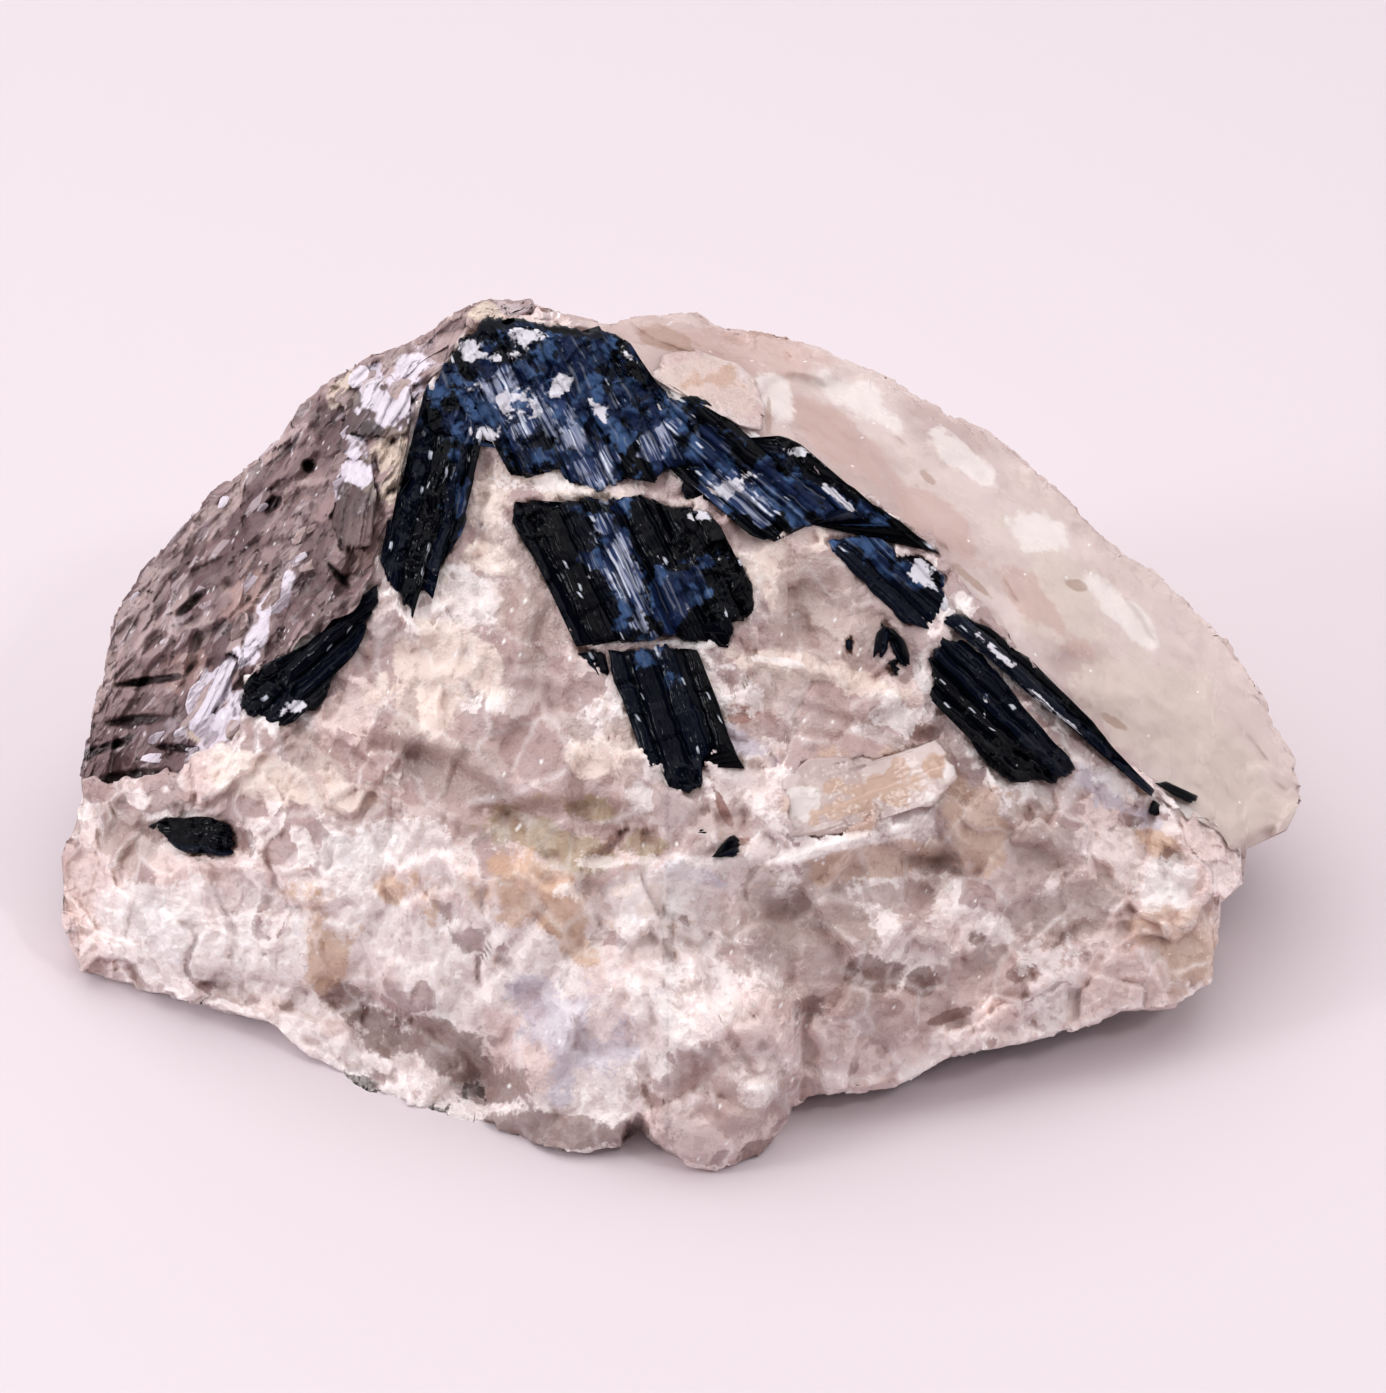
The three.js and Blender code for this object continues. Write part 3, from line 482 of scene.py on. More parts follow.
CRYSTALS = {
    "tourmaline_crown": [
        crystal(-63, 1.15, 1.15, 1, [
            (-15.4, 17.2), (-14.6, 18.9), (-13.9, 20.6), (-12.3, 22.2), (-10.4, 22.6), (-8, 22.1),
            (-5.3, 21.3), (-3.6, 20.5), (-2.3, 18.4), (-1.1, 17.1), (0.6, 16.2), (0.8, 13.2),
            (-0.8, 13.7), (-2.2, 12.6), (-4, 12.8), (-5.6, 11.8), (-7, 12.3), (-7.8, 13.1), (-10.7, 13.1),
            (-11.1, 15.1), (-13.4, 15), (-15.2, 15.4),
        ]),
        crystal(-103, 0.95, 0.95, 2, [
            (-16.1, 16.2), (-15.4, 18.1), (-13.4, 17.9), (-12.3, 15.4), (-12.4, 14), (-13, 13.8),
            (-13.7, 12.2), (-13.1, 10.2), (-14, 8.6), (-14.9, 7.2), (-15.2, 5.4), (-16, 6), (-16.3, 4.5),
            (-17.4, 6.2), (-18.2, 8), (-17.7, 10.9), (-16.5, 11.6), (-16.2, 13.8),
        ]),
        crystal(-41, 1.2, 1.0, 3, [
            (-1.3, 17.2), (0.8, 17.2), (2.6, 15.5), (4.4, 13.9), (5.2, 14.9), (6.6, 14.4), (7.2, 13.2),
            (8.4, 12.1), (11, 10.9), (13.5, 9.1), (14.3, 8.4), (13.2, 8.7), (11.4, 9.9), (8.4, 10.8),
            (5.6, 9.8), (4.3, 8.9), (3.3, 9.4), (1.8, 11.2), (1, 12.3), (-0.2, 11.2), (-0.6, 11.6),
            (-0.4, 13.6), (-1.8, 13.6), (-2.4, 15.4),
        ]),
    ],
    "tourmaline_centre_upper": [
        crystal(-64, 1.25, 1.2, 4, [
            (-10.6, 10.3), (-10.4, 11.3), (-9.6, 11.6), (-8.3, 11.1), (-7.5, 11.6), (-5.8, 11.6),
            (-4.3, 11.5), (-3, 11.5), (-1.8, 11.1), (0.3, 10.9), (1.6, 9.8), (1.4, 8.4), (2.8, 7.9),
            (3.5, 6.4), (3.4, 5.2), (2.5, 4.3), (2, 3.1), (0, 3.4), (-3, 3.3), (-5.6, 3.1), (-6.7, 2.9),
            (-7.5, 4.9), (-8.4, 6.7), (-9.5, 8.3),
        ]),
    ],
    "tourmaline_centre_lower": [
        crystal(-71, 1.2, 1.3, 5, [
            (-5, 2.7), (-1.5, 2.9), (0.2, 2.8), (1, 0.6), (1.7, -1.3), (2.4, -2.8), (3, -4.1),
            (1.9, -3.1), (1.1, -3.2), (0.6, -3.8), (0.6, -5.4), (-0.3, -5.7), (-1.5, -5.2), (-1.5, -4.3),
            (-2.7, -4.1), (-3.3, -2.4), (-4, -0.5), (-4.7, 1.2),
        ]),
        crystal(-66, 0.8, 0.8, 6, [(-6.8, 2.7), (-5.4, 3), (-4.8, 1.5), (-5.4, 1.1), (-5.9, 1.8)]),
    ],
    "tourmaline_right_upper": [
        crystal(-44, 1, 0.9, 7, [
            (8, 8.9), (9, 9.4), (11, 9.2), (12.2, 8.2), (13.6, 8.1), (14.6, 7.1), (14.6, 5.4), (13.6, 4),
            (12.1, 4.4), (10.9, 5.7), (9.9, 6.9), (8.3, 8.1),
        ]),
    ],
    "tourmaline_right_lower": [
        crystal(-44, 1.1, 1.2, 8, [
            (13.7, 2.7), (14.6, 3.3), (16, 3.2), (17.2, 2.1), (18.4, 0.4), (19.6, -1.1), (20.6, -2.1),
            (21.8, -3.5), (22.2, -4.2), (21.2, -4.9), (19.5, -4.7), (17.9, -4.7), (16.9, -3.9),
            (16, -2.4), (14.8, -1.1), (13.6, 0), (14.1, 1.3),
        ]),
    ],
    "tourmaline_edge_blade": [
        crystal(-42, 1.1, 0.8, 9, [
            (14.2, 4.6), (15.6, 4.9), (17.2, 4), (19.3, 2.4), (21.8, 0), (23.6, -1.9), (25, -3.6),
            (26.8, -5.4), (26.5, -5.8), (24.8, -4.2), (23.2, -2.9), (21.2, -1), (18.5, 1), (16.6, 2.9),
        ]),
    ],
    "tourmaline_left_foot": [
        crystal(222, 1, 0.9, 10, [
            (-18.4, 6.6), (-18.3, 5.4), (-19.2, 3.5), (-20, 2.2), (-21.2, 0.9), (-21.8, -0.8),
            (-22.4, -0.6), (-23.2, -1.5), (-24.4, -1.5), (-25.9, -1), (-26.3, 0.4), (-25.3, 1.7),
            (-23.6, 2.4), (-22, 3.4), (-20.6, 4.3), (-19.4, 5.7),
        ]),
    ],
    "tourmaline_speck_left": [
        crystal(-10, 0.15, 0.8, 11, [
            (-31.4, -7.6), (-30.3, -7), (-28.3, -7), (-27, -7.5), (-26.4, -8.6), (-27, -9.2),
            (-29.1, -9.2),
        ]),
    ],
    "tourmaline_chip": [
        crystal(20, 0.7, 0.7, 12, [(0.9, -9.3), (1.3, -8.8), (2.1, -8.2), (3, -8.9), (2.3, -9.4)]),
    ],
}
SPECK_LIFT, SPECK_WIDTH, SPECK_CHANNEL = 0.6, 0.5, 31
SPECK_OUTLINES = [  # the turn of each one's axis, and its outline
    (74, [(10.4, 2.3), (10.7, 3.8), (11.2, 4.4), (11.5, 3.6), (11.1, 2.3)]),
    (-58, [(11, 4.2), (11.6, 4.1), (12.6, 2.6), (12.5, 1.7), (11.9, 2.1), (11.4, 3.3)]),
    (-20, [(11.2, 1.9), (11.7, 2.2), (12, 1.7), (11.6, 1.2)]),
    (80, [(8.85, 2.6), (9, 3.5), (9.3, 3.4), (9.25, 2.5)]),
    (-50, [(26.3, -6.4), (26.6, -5.7), (27.1, -6.1), (27.4, -6.9), (26.9, -6.9)]),
    (-30, [(26.9, -5), (27.6, -4.8), (28.6, -5.4), (29.3, -5.7), (29.1, -6.3), (28.5, -6.1), (27.7, -5.5)]),
    (0, [(0.4, -7.8), (0.7, -7.5), (1, -7.8), (0.7, -8.1)]),
]
SPECKS = [
    crystal(turn, SPECK_LIFT, SPECK_WIDTH, SPECK_CHANNEL + k, outline)
    for k, (turn, outline) in enumerate(SPECK_OUTLINES)
]
GRAINS = {
    "feldspar_knob": [
        crystal(150, 1.1, 1.9, 21, [
            (-2.4, 18.6), (-1.6, 19.8), (0.4, 20.1), (2.4, 19.5), (3.7, 18.2), (4.2, 16.6), (4, 15.5),
            (2.9, 15.6), (1.4, 17.1), (-0.9, 17.5),
        ], host=QUARTZ, striped=0.1, relief=0.4),
    ],
    "mica_book_upper": [
        crystal(60, 1.3, 0.7, 22, [
            (-20.3, 15.6), (-19.5, 17.9), (-17.6, 18.5), (-16.4, 17.6), (-16.7, 15.4), (-19.2, 15.1),
        ], host=MICA),
    ],
    "mica_book_middle": [
        crystal(80, 1.1, 0.7, 23, [
            (-21, 10.4), (-20.4, 13.8), (-18.8, 14), (-18.4, 11.6), (-18.7, 8.8), (-20.5, 8.6),
        ], host=MICA),
    ],
    "mica_lath": [
        crystal(62, 1, 0.5, 24, [(-27.1, 2.6), (-26.4, 2.3), (-28.4, -1.8), (-29.3, -1.6)], host=MICA),
    ],
    "quartz_block_front": [
        crystal(20, 1, 2.6, 27, [
            (5.6, -8.1), (5.4, -4.7), (7, -3.5), (11, -3.5), (14.3, -2.5), (15.5, -4.7), (14, -6.3),
            (11, -6.6), (8.6, -8),
        ], striped=0.1, relief=0.3),
    ],
}


def signed_distance(u, v, outline):
    """The distance from each place to an outline: positive inside it, negative outside.
    It is the least distance to a side. A place is inside when a line to its right crosses the sides an
    odd number of times."""
    least = np.full(np.shape(u), np.inf)
    inside = np.zeros(np.shape(u), bool)
    for (au, av), (bu, bv) in zip(outline, outline[1:] + outline[:1]):
        du, dv = bu - au, bv - av
        t = np.clip(((u - au) * du + (v - av) * dv) / (du * du + dv * dv), 0, 1)
        least = np.minimum(least, np.hypot(u - au - t * du, v - av - t * dv))
        crossing = ((av > v) != (bv > v)) & (u < au + (v - av) * du / (dv if dv else 1e-9))
        inside ^= crossing
    return np.where(inside, least, -least)


print("bundles:", sum(len(b) for b in CRYSTALS.values()), "of tourmaline,", len(GRAINS), "of other grains")

# %% [markdown]
# The front is a patchwork. Clear grey and tan grains of quartz sit in the white feldspar, rust has
# soaked into it along cracks, and there are olive hollows, a lilac patch and dark grains beneath.
# Each kind is a list of ovals: the middle, the two half lengths and the turn in degrees. Quartz and
# mica have patches of their own: stains and milky clouds, bright books, and gaps between leaves with
# shade painted dark into them.

# %% Patches of the minerals
FRONT_PATCHES = {
    "iron": [
        (-22, -14.4, 1.7, 3.2, 8), (-9.4, -11.3, 5.6, 2.4, -6), (-6.3, -15, 1.4, 1.2, 0),
        (-18, -11.2, 1.1, 0.9, 0), (27, -8.6, 1.4, 0.6, -20), (1.2, 18.4, 1.2, 0.7, 0),
    ],
    "lilac": [
        (-7.6, -18.4, 3.6, 3.6, -20), (3.5, -3, 1.6, 1.1, -30), (0.4, -10.5, 2, 1, 0),
        (24, -5.8, 2.6, 0.9, -30),
    ],
    "grey": [
        (-9.6, 5.4, 2.1, 4, 12), (8, 5.4, 3.6, 2.6, -25), (6.6, -13, 4, 3.2, 0),
        (3.2, -13.4, 1.4, 1.2, 0), (-14.5, -4, 2.4, 1.6, -20), (9.6, -16.9, 1.8, 1.2, 20),
        (-10, 8.5, 1.2, 1.2, 0), (20, -8, 3, 1.4, -30), (-4, -2, 1.4, 1, 0), (22, -12.4, 2.6, 1.4, 20),
        (-21, -3.8, 2.2, 1.1, -30), (5.2, 0.6, 2, 1.2, 0), (-16.6, -1.6, 0.7, 2.6, -10),
        (-7, -1.8, 1.7, 1.1, 0), (-12, -4.6, 1.6, 2.2, 0), (-32.6, -8.4, 2.6, 1.5, -20),
    ],
    "tan": [
        (10.4, -5.4, 5.4, 2, 14), (16.7, -8, 2.2, 2, -30), (28.2, -14.4, 2.7, 3.4, 0),
        (10.6, -9.6, 4.4, 1, 12),
    ],
    "dusky": [
        (-13, -3.6, 7, 3.6, -20), (8, -1, 8, 4.6, -30), (-9.4, 2, 3, 6, 14), (-3, -6.4, 8, 2.4, 0),
        (17, -9, 7, 3, -30), (7, -14, 6, 4, 10), (-18, -6.4, 7, 2.4, -20), (15, -17, 6, 1.8, 20),
        (1, -23, 5, 3, 0), (-15, -7.4, 4, 1.8, 0),
    ],
    "olive": [(-8.2, -8.5, 3, 1.5, -12), (-3.4, -8.6, 2.3, 1.4, 35), (-6, -6.6, 3, 0.8, -10)],
    "brown": [
        (-18.5, -18.5, 3.6, 1.5, -28), (-13, -20.9, 3.4, 1.3, -26), (-12, -22.9, 1.6, 0.7, 0),
        (-8, -25.4, 3.8, 1, -5), (7, -17.6, 1.2, 1, 0), (13.2, -16.3, 0.9, 0.8, 0),
        (16.7, -14, 0.9, 0.7, 0), (28, -9.4, 1.2, 0.8, 0), (25.8, -7.2, 0.8, 0.5, 0),
        (-29, -8, 3, 0.9, -8), (3.5, -26.4, 1.2, 0.6, 20), (10.6, -16, 2.6, 0.9, 14),
        (13.4, -2.2, 0.7, 0.4, 0), (-20.5, -8.4, 1, 0.3, -10), (19.6, -15.6, 1.4, 0.5, 30),
        (14.8, -18.6, 1.6, 0.3, 20),
    ],
    "red": [
        (1.5, -5.9, 0.32, 2.3, 24), (2.6, -1, 0.9, 0.5, 0), (3.6, -0.2, 0.7, 0.9, 0),
        (2.4, -8.4, 1.2, 0.4, 0),
    ],
    "cream": [
        (-11.6, 10.6, 1.6, 3.6, 0), (-7, 12.2, 3.4, 0.9, -8), (4.5, 7.6, 2.2, 3.4, -30),
        (-2, 1, 3, 1.4, 0), (-25, -4.2, 4, 1.4, -10), (7, 1.6, 5, 1, -10), (-15.5, 1, 2.4, 3.4, 0),
        (0.6, 13, 1.4, 1, 0), (-5, -3, 3, 2, 0), (1, 18, 3.4, 2.4, -10), (-22, -5.6, 3.4, 0.8, -6),
        (-12.6, 2.2, 1.2, 3.6, 20),
    ],
    "white": [
        (19.2, 0.5, 5.6, 0.5, -44), (-2, 3.1, 5.4, 0.22, 0), (8.6, -8.5, 4.8, 0.36, 14),
        (27, -6.2, 1.2, 0.6, -20), (27.6, -10.6, 1.5, 1.5, -40), (24.4, -4.8, 3, 0.6, -36),
        (-4.2, -9.6, 3, 0.4, 2), (-18, -9, 5, 1.8, -6), (-29, -13, 5, 2.4, -10), (5.2, 2, 2, 0.25, -10),
        (-8.3, 12.5, 2.2, 0.5, 0), (13.4, 0.8, 1.6, 0.5, -70), (12, -1.4, 1.6, 1.2, 10),
        (-2.8, -5.8, 0.8, 0.8, 0), (20.6, -15.2, 2.6, 1.1, 24), (-2, -11, 4.6, 1.6, 0),
        (-13.4, 5.6, 1.6, 1.2, 0), (1.8, -0.6, 1.6, 1.6, 0),
    ],
}
QUARTZ_PATCHES = {
    "pink": [(3, 20, 6, 1.6, -10), (9, 14.6, 7, 1.4, -38), (14, 10.4, 5, 1.2, -44), (20, 5.4, 4, 1, -46)],
    "tan": [(12, -5.1, 3.4, 1.5, 14), (9, -6.4, 2.4, 1.2, 10)],
    "green": [(27, -1.5, 7, 4, -42), (30.5, -5, 4.4, 3, -30), (22, 5, 5, 3, -42)],
    "stain": [
        (22.2, 6.5, 0.6, 0.3, -20), (24.5, -1.5, 1, 0.3, -30), (13.6, 12.8, 0.8, 0.3, -40),
        (-1.6, 20.8, 1.6, 0.6, -20), (23.4, -2.4, 0.6, 0.4, -40), (5, 21.2, 1.8, 0.4, -6),
        (4.4, 16.4, 0.25, 1.6, 0), (16.6, 6.4, 2, 0.3, -40),
    ],
    "white": [
        (9, 17.6, 3.4, 1, -30), (4.6, 17.6, 1.6, 1, -60), (16, 13.4, 2.6, 0.9, -36),
        (25.4, 4.4, 3, 0.8, -44), (20, 9.6, 2.2, 1.2, -30), (28, -6.4, 3, 0.4, -30), (6, -6.4, 1.2, 2, 0),
        (14.8, -4, 0.6, 2, -30),
    ],
}
MICA_PATCHES = {
    "bright": [
        (-18.2, 16.9, 2.3, 1.8, 0), (-19.5, 13, 1.1, 1.3, 0), (-27.8, 0.4, 0.7, 2.4, -30),
        (-27.4, -2.8, 1.6, 2, -30), (-25, 4.4, 0.6, 3, -20), (-16.6, 18.8, 1.6, 0.8, 20),
        (-23.6, 6.6, 0.5, 1.2, -40),
    ],
    "cream": [
        (-17.2, 14, 1.4, 2.2, 0), (-20.5, 17.6, 1.4, 0.8, 40), (-12.2, 22.3, 1.6, 0.6, 0),
        (-26.5, -3.5, 2.4, 0.9, -30),
    ],
    "pebble": [
        (-19, 9.6, 1, 0.8, 20), (-19.4, 7.9, 1.1, 1, 0), (-26.6, 5.4, 0.8, 2.4, -28),
        (-30, 1.4, 2, 1.2, 30),
    ],
    "purple": [
        (-21.4, 6, 2.8, 2.2, 20), (-19.4, 8.6, 1.6, 1.6, 0), (-24.6, 1.4, 1.6, 1.6, 0),
        (-22.4, 9.4, 1.4, 1.2, 0),
    ],
    # Gaps between leaves: cut into the flank, with shade painted dark into them.
    "shaded_crevice": [
        (-32.3, -1.4, 1.9, 0.35, 6), (-32.2, -4.6, 2.2, 0.4, 4), (-31.8, 0.9, 2, 0.25, 8),
        (-18.8, 15.5, 0.9, 0.5, 30), (-34.2, -3, 1.4, 0.3, 20), (-30, -3, 1.4, 0.25, -5),
        (-29.2, 5.4, 1.2, 0.3, 40), (-24.4, 11.2, 0.7, 0.4, 40), (-22.4, 13.4, 0.4, 0.4, 0),
        (-20.6, 7, 1, 0.25, -50),
    ],
}
print("patches:", ", ".join(f"{name} {len(ovals)}" for name, ovals in FRONT_PATCHES.items()))

# %% [markdown]
# Each mineral's surface is a depth over the layout. It starts from the hull's flat faces. Broken
# facets of several sizes are then added, down to a fraction of a millimetre, with the ovals' forms
# on the front. Quartz breaks in larger and rounder shells than feldspar, and mica along its leaves.

# %% Depth of each mineral's surface
LEAF_TURN = math.radians(48)
GAP_DEPTH = 0.9
NO_HULL_DEPTH = -6


def leaf_frame(u, v, w):
    """Places in the frame of the mica's leaves: long along them, thin across them."""
    along = u * math.cos(LEAF_TURN) + v * math.sin(LEAF_TURN)
    across = v * math.cos(LEAF_TURN) - u * math.sin(LEAF_TURN)
    return np.stack([along / 2.0, across, w / 1.6], -1)


def front_base(u, v):
    """The front's flat faces: the nearer of the two hulls that the sight line enters."""
    face, _ = crossings(FRONT, u, v)
    foot, foot_back = crossings(FOOT, u, v)
    return np.maximum(face, np.where(foot > foot_back, foot, -np.inf))


def feldspar_place(u, v, w):
    """Places on the front, pushed about twice, so that its facets have uneven edges."""
    return warped(warped(seen(u, v, w) - CENTRE, 1.6, 0.4, 151), 0.5, 0.13, 161)


def feldspar_depth(u, v):
    """Flat faces + softened facets of 6, 3 and 1.5 mm + small ones and grains + the front's own forms."""
    base = front_base(u, v)
    place = feldspar_place(u, v, base)
    smooth = np.clip(3 * oval_field(u, v, FRONT_PATCHES["grey"] + FRONT_PATCHES["tan"]), 0, 1)
    large = facet_lift(place, 6, 1.1, 1.6, 1) + facet_lift(place, 3, 0.7, 1.7, 11)
    large = blurred(large + facet_lift(place, 1.5, 0.3, 1.6, 71) * (1 - 0.5 * smooth), 1)
    grainy = np.clip((-7 - v) / 4, 0.35, 1)
    small = blurred(facet_lift(place, 0.75, 0.15, 1.5, 81), 1) + grainy * lumps(place, 1.2, 0.24, 171)
    small += grainy * lumps(place, 0.55, 0.15, 181) + 0.07 * rough_noise(place, 0.5, 2, 91)
    return base + large + small * (1 - 0.6 * smooth) + oval_lift(u, v, FRONT_FORMS)


def quartz_depth(u, v):
    """Flat faces + facets of 9, 3.5 and 1.6 mm + rolling shells and fine noise."""
    base, _ = crossings(QUARTZ, u, v)
    place = seen(u, v, base) - CENTRE
    place = warped(place, 2.4, 0.6, 271)
    shells = facet_lift(place, 9, 1.1, 1.6, 21) + facet_lift(place, 3.5, 0.45, 1.4, 31)
    shells = blurred(shells + facet_lift(place, 1.6, 0.22, 1.4, 37), 7)
    return base + shells + 0.22 * smooth_noise(place, 2.2, 35) + 0.06 * rough_noise(place, 0.8, 2, 39)


def mica_place(u, v, w):
    """Places on the flank in the frame of its leaves, pushed about twice."""
    return warped(warped(leaf_frame(u, v, w), 1.8, 0.5, 251), 0.6, 0.12, 261)


def mica_depth(u, v):
    """Flat faces + softened leaves of 4 and 1.8 mm + lumps + thin leaves of 0.8 and 0.4 mm - the gaps."""
    base, _ = crossings(MICA, u, v)
    place = mica_place(u, v, base)
    large = blurred(facet_lift(place, 4, 1.5, 1.3, 41) + facet_lift(place, 1.8, 0.8, 1.4, 51), 2)
    spot = seen(u, v, base)
    large += 0.4 * rough_noise(spot, 3, 3, 281) + lumps(warped(spot, 1, 0.4, 291), 1.9, 0.6, 295)
    thin = facet_lift(place, 0.8, 0.3, 1.5, 61) + facet_lift(place, 0.36, 0.14, 1.4, 66)
    gaps = [(*oval, -GAP_DEPTH) for oval in MICA_PATCHES["shaded_crevice"]]
    return base + large + thin + oval_lift(u, v, gaps)


def back_depth(u, v):
    """Where the sight line leaves the whole rock: the furthest exit of the hulls that it passes."""
    deepest = np.full(np.shape(u), np.inf)
    for hull in (FRONT, FOOT, QUARTZ, MICA):
        entry, leave = crossings(hull, u, v)
        deepest = np.where(entry > leave, np.minimum(deepest, leave), deepest)
    return np.where(np.isfinite(deepest), deepest, NO_HULL_DEPTH)


probe = front_base(np.array([0.0, -20.0, 20.0]), np.array([-8.0, -8.0, -8.0]))
print("depth of the front at three places along the brow:", np.round(probe, 1))

# %% [markdown]
# A mineral's mass is a skin over loops. There is one loop for each place along u: up the front from
# the lower line to the upper one, over the edge, down the back and under again. The columns stand
# closer together where the outline is steep, so that its ends are as finely broken as its face.

# %% Loops of rock
OVERLAP = 0.15
INNER_DEPTH = 5.0
LEAST_HEIGHT = 0.06
RISE_SHARE = 0.6
COLLAR_DROP, COLLAR_WIDTH, COLLAR_SLOPE, COLLAR_REACH = 0.5, 0.4, 0.5, 2
SEAT_DROP = 1.0


def columns(spacing, first, last, *edges):
    """Places along u at equal steps of a length that counts the rise of the edges as well."""
    knots = np.unique(np.concatenate([[first, last], *[edge[:, 0] for edge in edges]]))
    knots = knots[(knots >= first) & (knots <= last)]
    rise = sum(np.abs(np.diff(line_at(edge, knots))) for edge in edges)
    length = np.concatenate([[0], np.cumsum(np.hypot(np.diff(knots), RISE_SHARE * rise))])
    return np.interp(np.linspace(0, length[-1], int(length[-1] / spacing)), length, knots)


def sheet(u, start, end, rows):
    """A grid of places: every column u, with rows from its start to its end in v."""
    t = np.linspace(0, 1, rows)
    return np.repeat(u[:, None], rows, 1), start[:, None] + t * (end - start)[:, None]


def wall(near, far, rows):
    """Rows between the edges of two sheets, without the edges themselves."""
    t = np.linspace(0, 1, rows + 2)[1:-1]
    return [n[:, None] + t * (f - n)[:, None] for n, f in zip(near, far)]


def roughen_rim(u, v, w, rim, size):
    """Breaks the sides of a mass: its places move in u and v by facets, as far as the rim's weight says."""
    place = seen(u, v, w) - CENTRE
    shift_u, shift_v = (
        facet_lift(place, 1.9, size, 1.4, channel) + 0.4 * facet_lift(place, 0.8, size, 1.4, channel + 7)
        for channel in (101, 121)
    )
    return u + rim * shift_u, v + rim * (shift_v - 0.1 * size)


def in_box(points):
    """Keeps points inside the CAD frame's own box."""
    low, high = (np.array(corner) / MM for corner in CAD_BOX)
    return np.clip(points, low, high)


def ground_clamp(v, w):
    """Keeps a depth in front of the ground, on which the specimen stands."""
    return np.maximum(w, floor_depth(v))


def fitted_to_crystals(u, v, w, bundles, seat, collar=0.0):
    """Fits the rock to the crystals. Inside a crystal's ragged outline the depth stays under its seat.
    Round it a collar of rock rises to the crystal's own level, and falls away over the next millimetre."""
    for bundle in bundles:
        least = np.min(bundle["outline"], 0) - COLLAR_REACH
        most = np.max(bundle["outline"], 0) + COLLAR_REACH
        close = (u > least[0]) & (u < most[0]) & (v > least[1]) & (v < most[1])
        if not close.any():
            continue
        near_u, near_v, near_w = u[close], v[close], w[close]
        inside = signed_distance(near_u, near_v, bundle["outline"])
        place = np.stack([near_u, near_v, np.zeros_like(near_u)], -1)
        ragged_edge = 0.12 + 0.3 * rough_noise(place, 0.7, 2, 211)
        base = seat(near_u, near_v)
        fall = COLLAR_SLOPE * np.maximum(-inside - COLLAR_WIDTH, 0)
        level = base + bundle["lift"] - COLLAR_DROP + facet_lift(place, 1.3, 0.5, 1.5, 221) - fall
        if collar:
            near_w = np.where(level > near_w, near_w + collar * (level - near_w), near_w)
        under = np.minimum(near_w, base + bundle["lift"] - SEAT_DROP)
        w[close] = np.where(inside > ragged_edge, under, near_w)
    return w


print("spare height of the thinnest loop:", LEAST_HEIGHT, "mm")

# %% [markdown]
# The same skin serves every piece in this scene. Neighbouring loops are joined by quads, and the
# first and the last loop are closed by a fan of triangles to their middle. Numbers that a material
# needs later, such as where the rust is, travel with the points as attributes.

# %% A closed skin over loops


def skin(loops, fields=None):
    """Points, faces and fields of the closed skin over loops shaped (loops, points on each, 3)."""
    count, around = loops.shape[:2]
    index = np.arange(count * around).reshape(count, around)
    after = np.roll(index, -1, 1)
    quads = np.stack([index[:-1], index[1:], after[1:], after[:-1]], -1).reshape(-1, 4)
    ends = np.stack([loops[0].mean(0), loops[-1].mean(0)])
    first = np.stack([np.full(around, count * around), index[0], after[0]], -1)
    last = np.stack([np.full(around, count * around + 1), after[-1], index[-1]], -1)
    points = np.concatenate([loops.reshape(-1, 3), ends])
    carried = {}
    for name, field in (fields or {}).items():
        carried[name] = np.concatenate([field.ravel(), [field[0].mean(), field[-1].mean()]])
    return points, (quads, first, last), carried


def piece(name, skins, material, slot, *nodes, smooth=True):
    """An object from one or more skins, in metres, that rides on the root and stands for CAD nodes."""
    points, faces, fields = [], [], {}
    start = 0
    for some_points, some_faces, some_fields in skins:
        points.append(some_points)
        for corners in some_faces:
            faces += (corners + start).tolist()
        start += len(some_points)
        for key, values in some_fields.items():
            fields.setdefault(key, []).append(values)
    points = in_box(np.concatenate(points)) * MM
    mesh = bpy.data.meshes.new(name)
    mesh.from_pydata(points.tolist(), [], faces)
    for key, values in fields.items():
        attribute = mesh.attributes.new(key, "FLOAT", "POINT")
        attribute.data.foreach_set("value", np.concatenate(values).astype(np.float32))
    mesh.polygons.foreach_set("use_smooth", np.full(len(mesh.polygons), smooth))
    mesh.materials.append(material)
    made = bpy.data.objects.new(name, mesh)
    bpy.context.collection.objects.link(made)
    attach(made, "root")
    if nodes:
        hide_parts(*nodes)
    triangles = len(mesh.loops) - 2 * len(mesh.polygons)
    print(f"{name}: {len(mesh.vertices)} points, {triangles} triangles")
    return made


print("skins are closed by two fans")

# %% [markdown]
# A loop is made of sheets and of the walls between them. They are put one after another round the
# loop. A mass that would be too heavy as one mesh is cut across its loops into two halves.

# %% Joining sheets


def row_of(sheet_grids, row):
    """One row of a sheet's three grids: its first row is 0 and its last one is -1."""
    return [grid[:, row] for grid in sheet_grids]


def stacked(parts, axis):
    """The (u, v, w) of some sheets, put one after another round the loop."""
    return [np.concatenate([part[k] for part in parts], axis) for k in range(3)]


def rim_weight(v, low, high, reach=0.9):
    """1 at the lower and the upper line of a sheet, falling to nothing away from them."""
    distance = np.minimum(np.abs(v - low[:, None]), np.abs(high[:, None] - v))
    return np.exp(-((distance / reach) ** 2))


SINK_SHARES = (0.02, 0.06, 0.16)


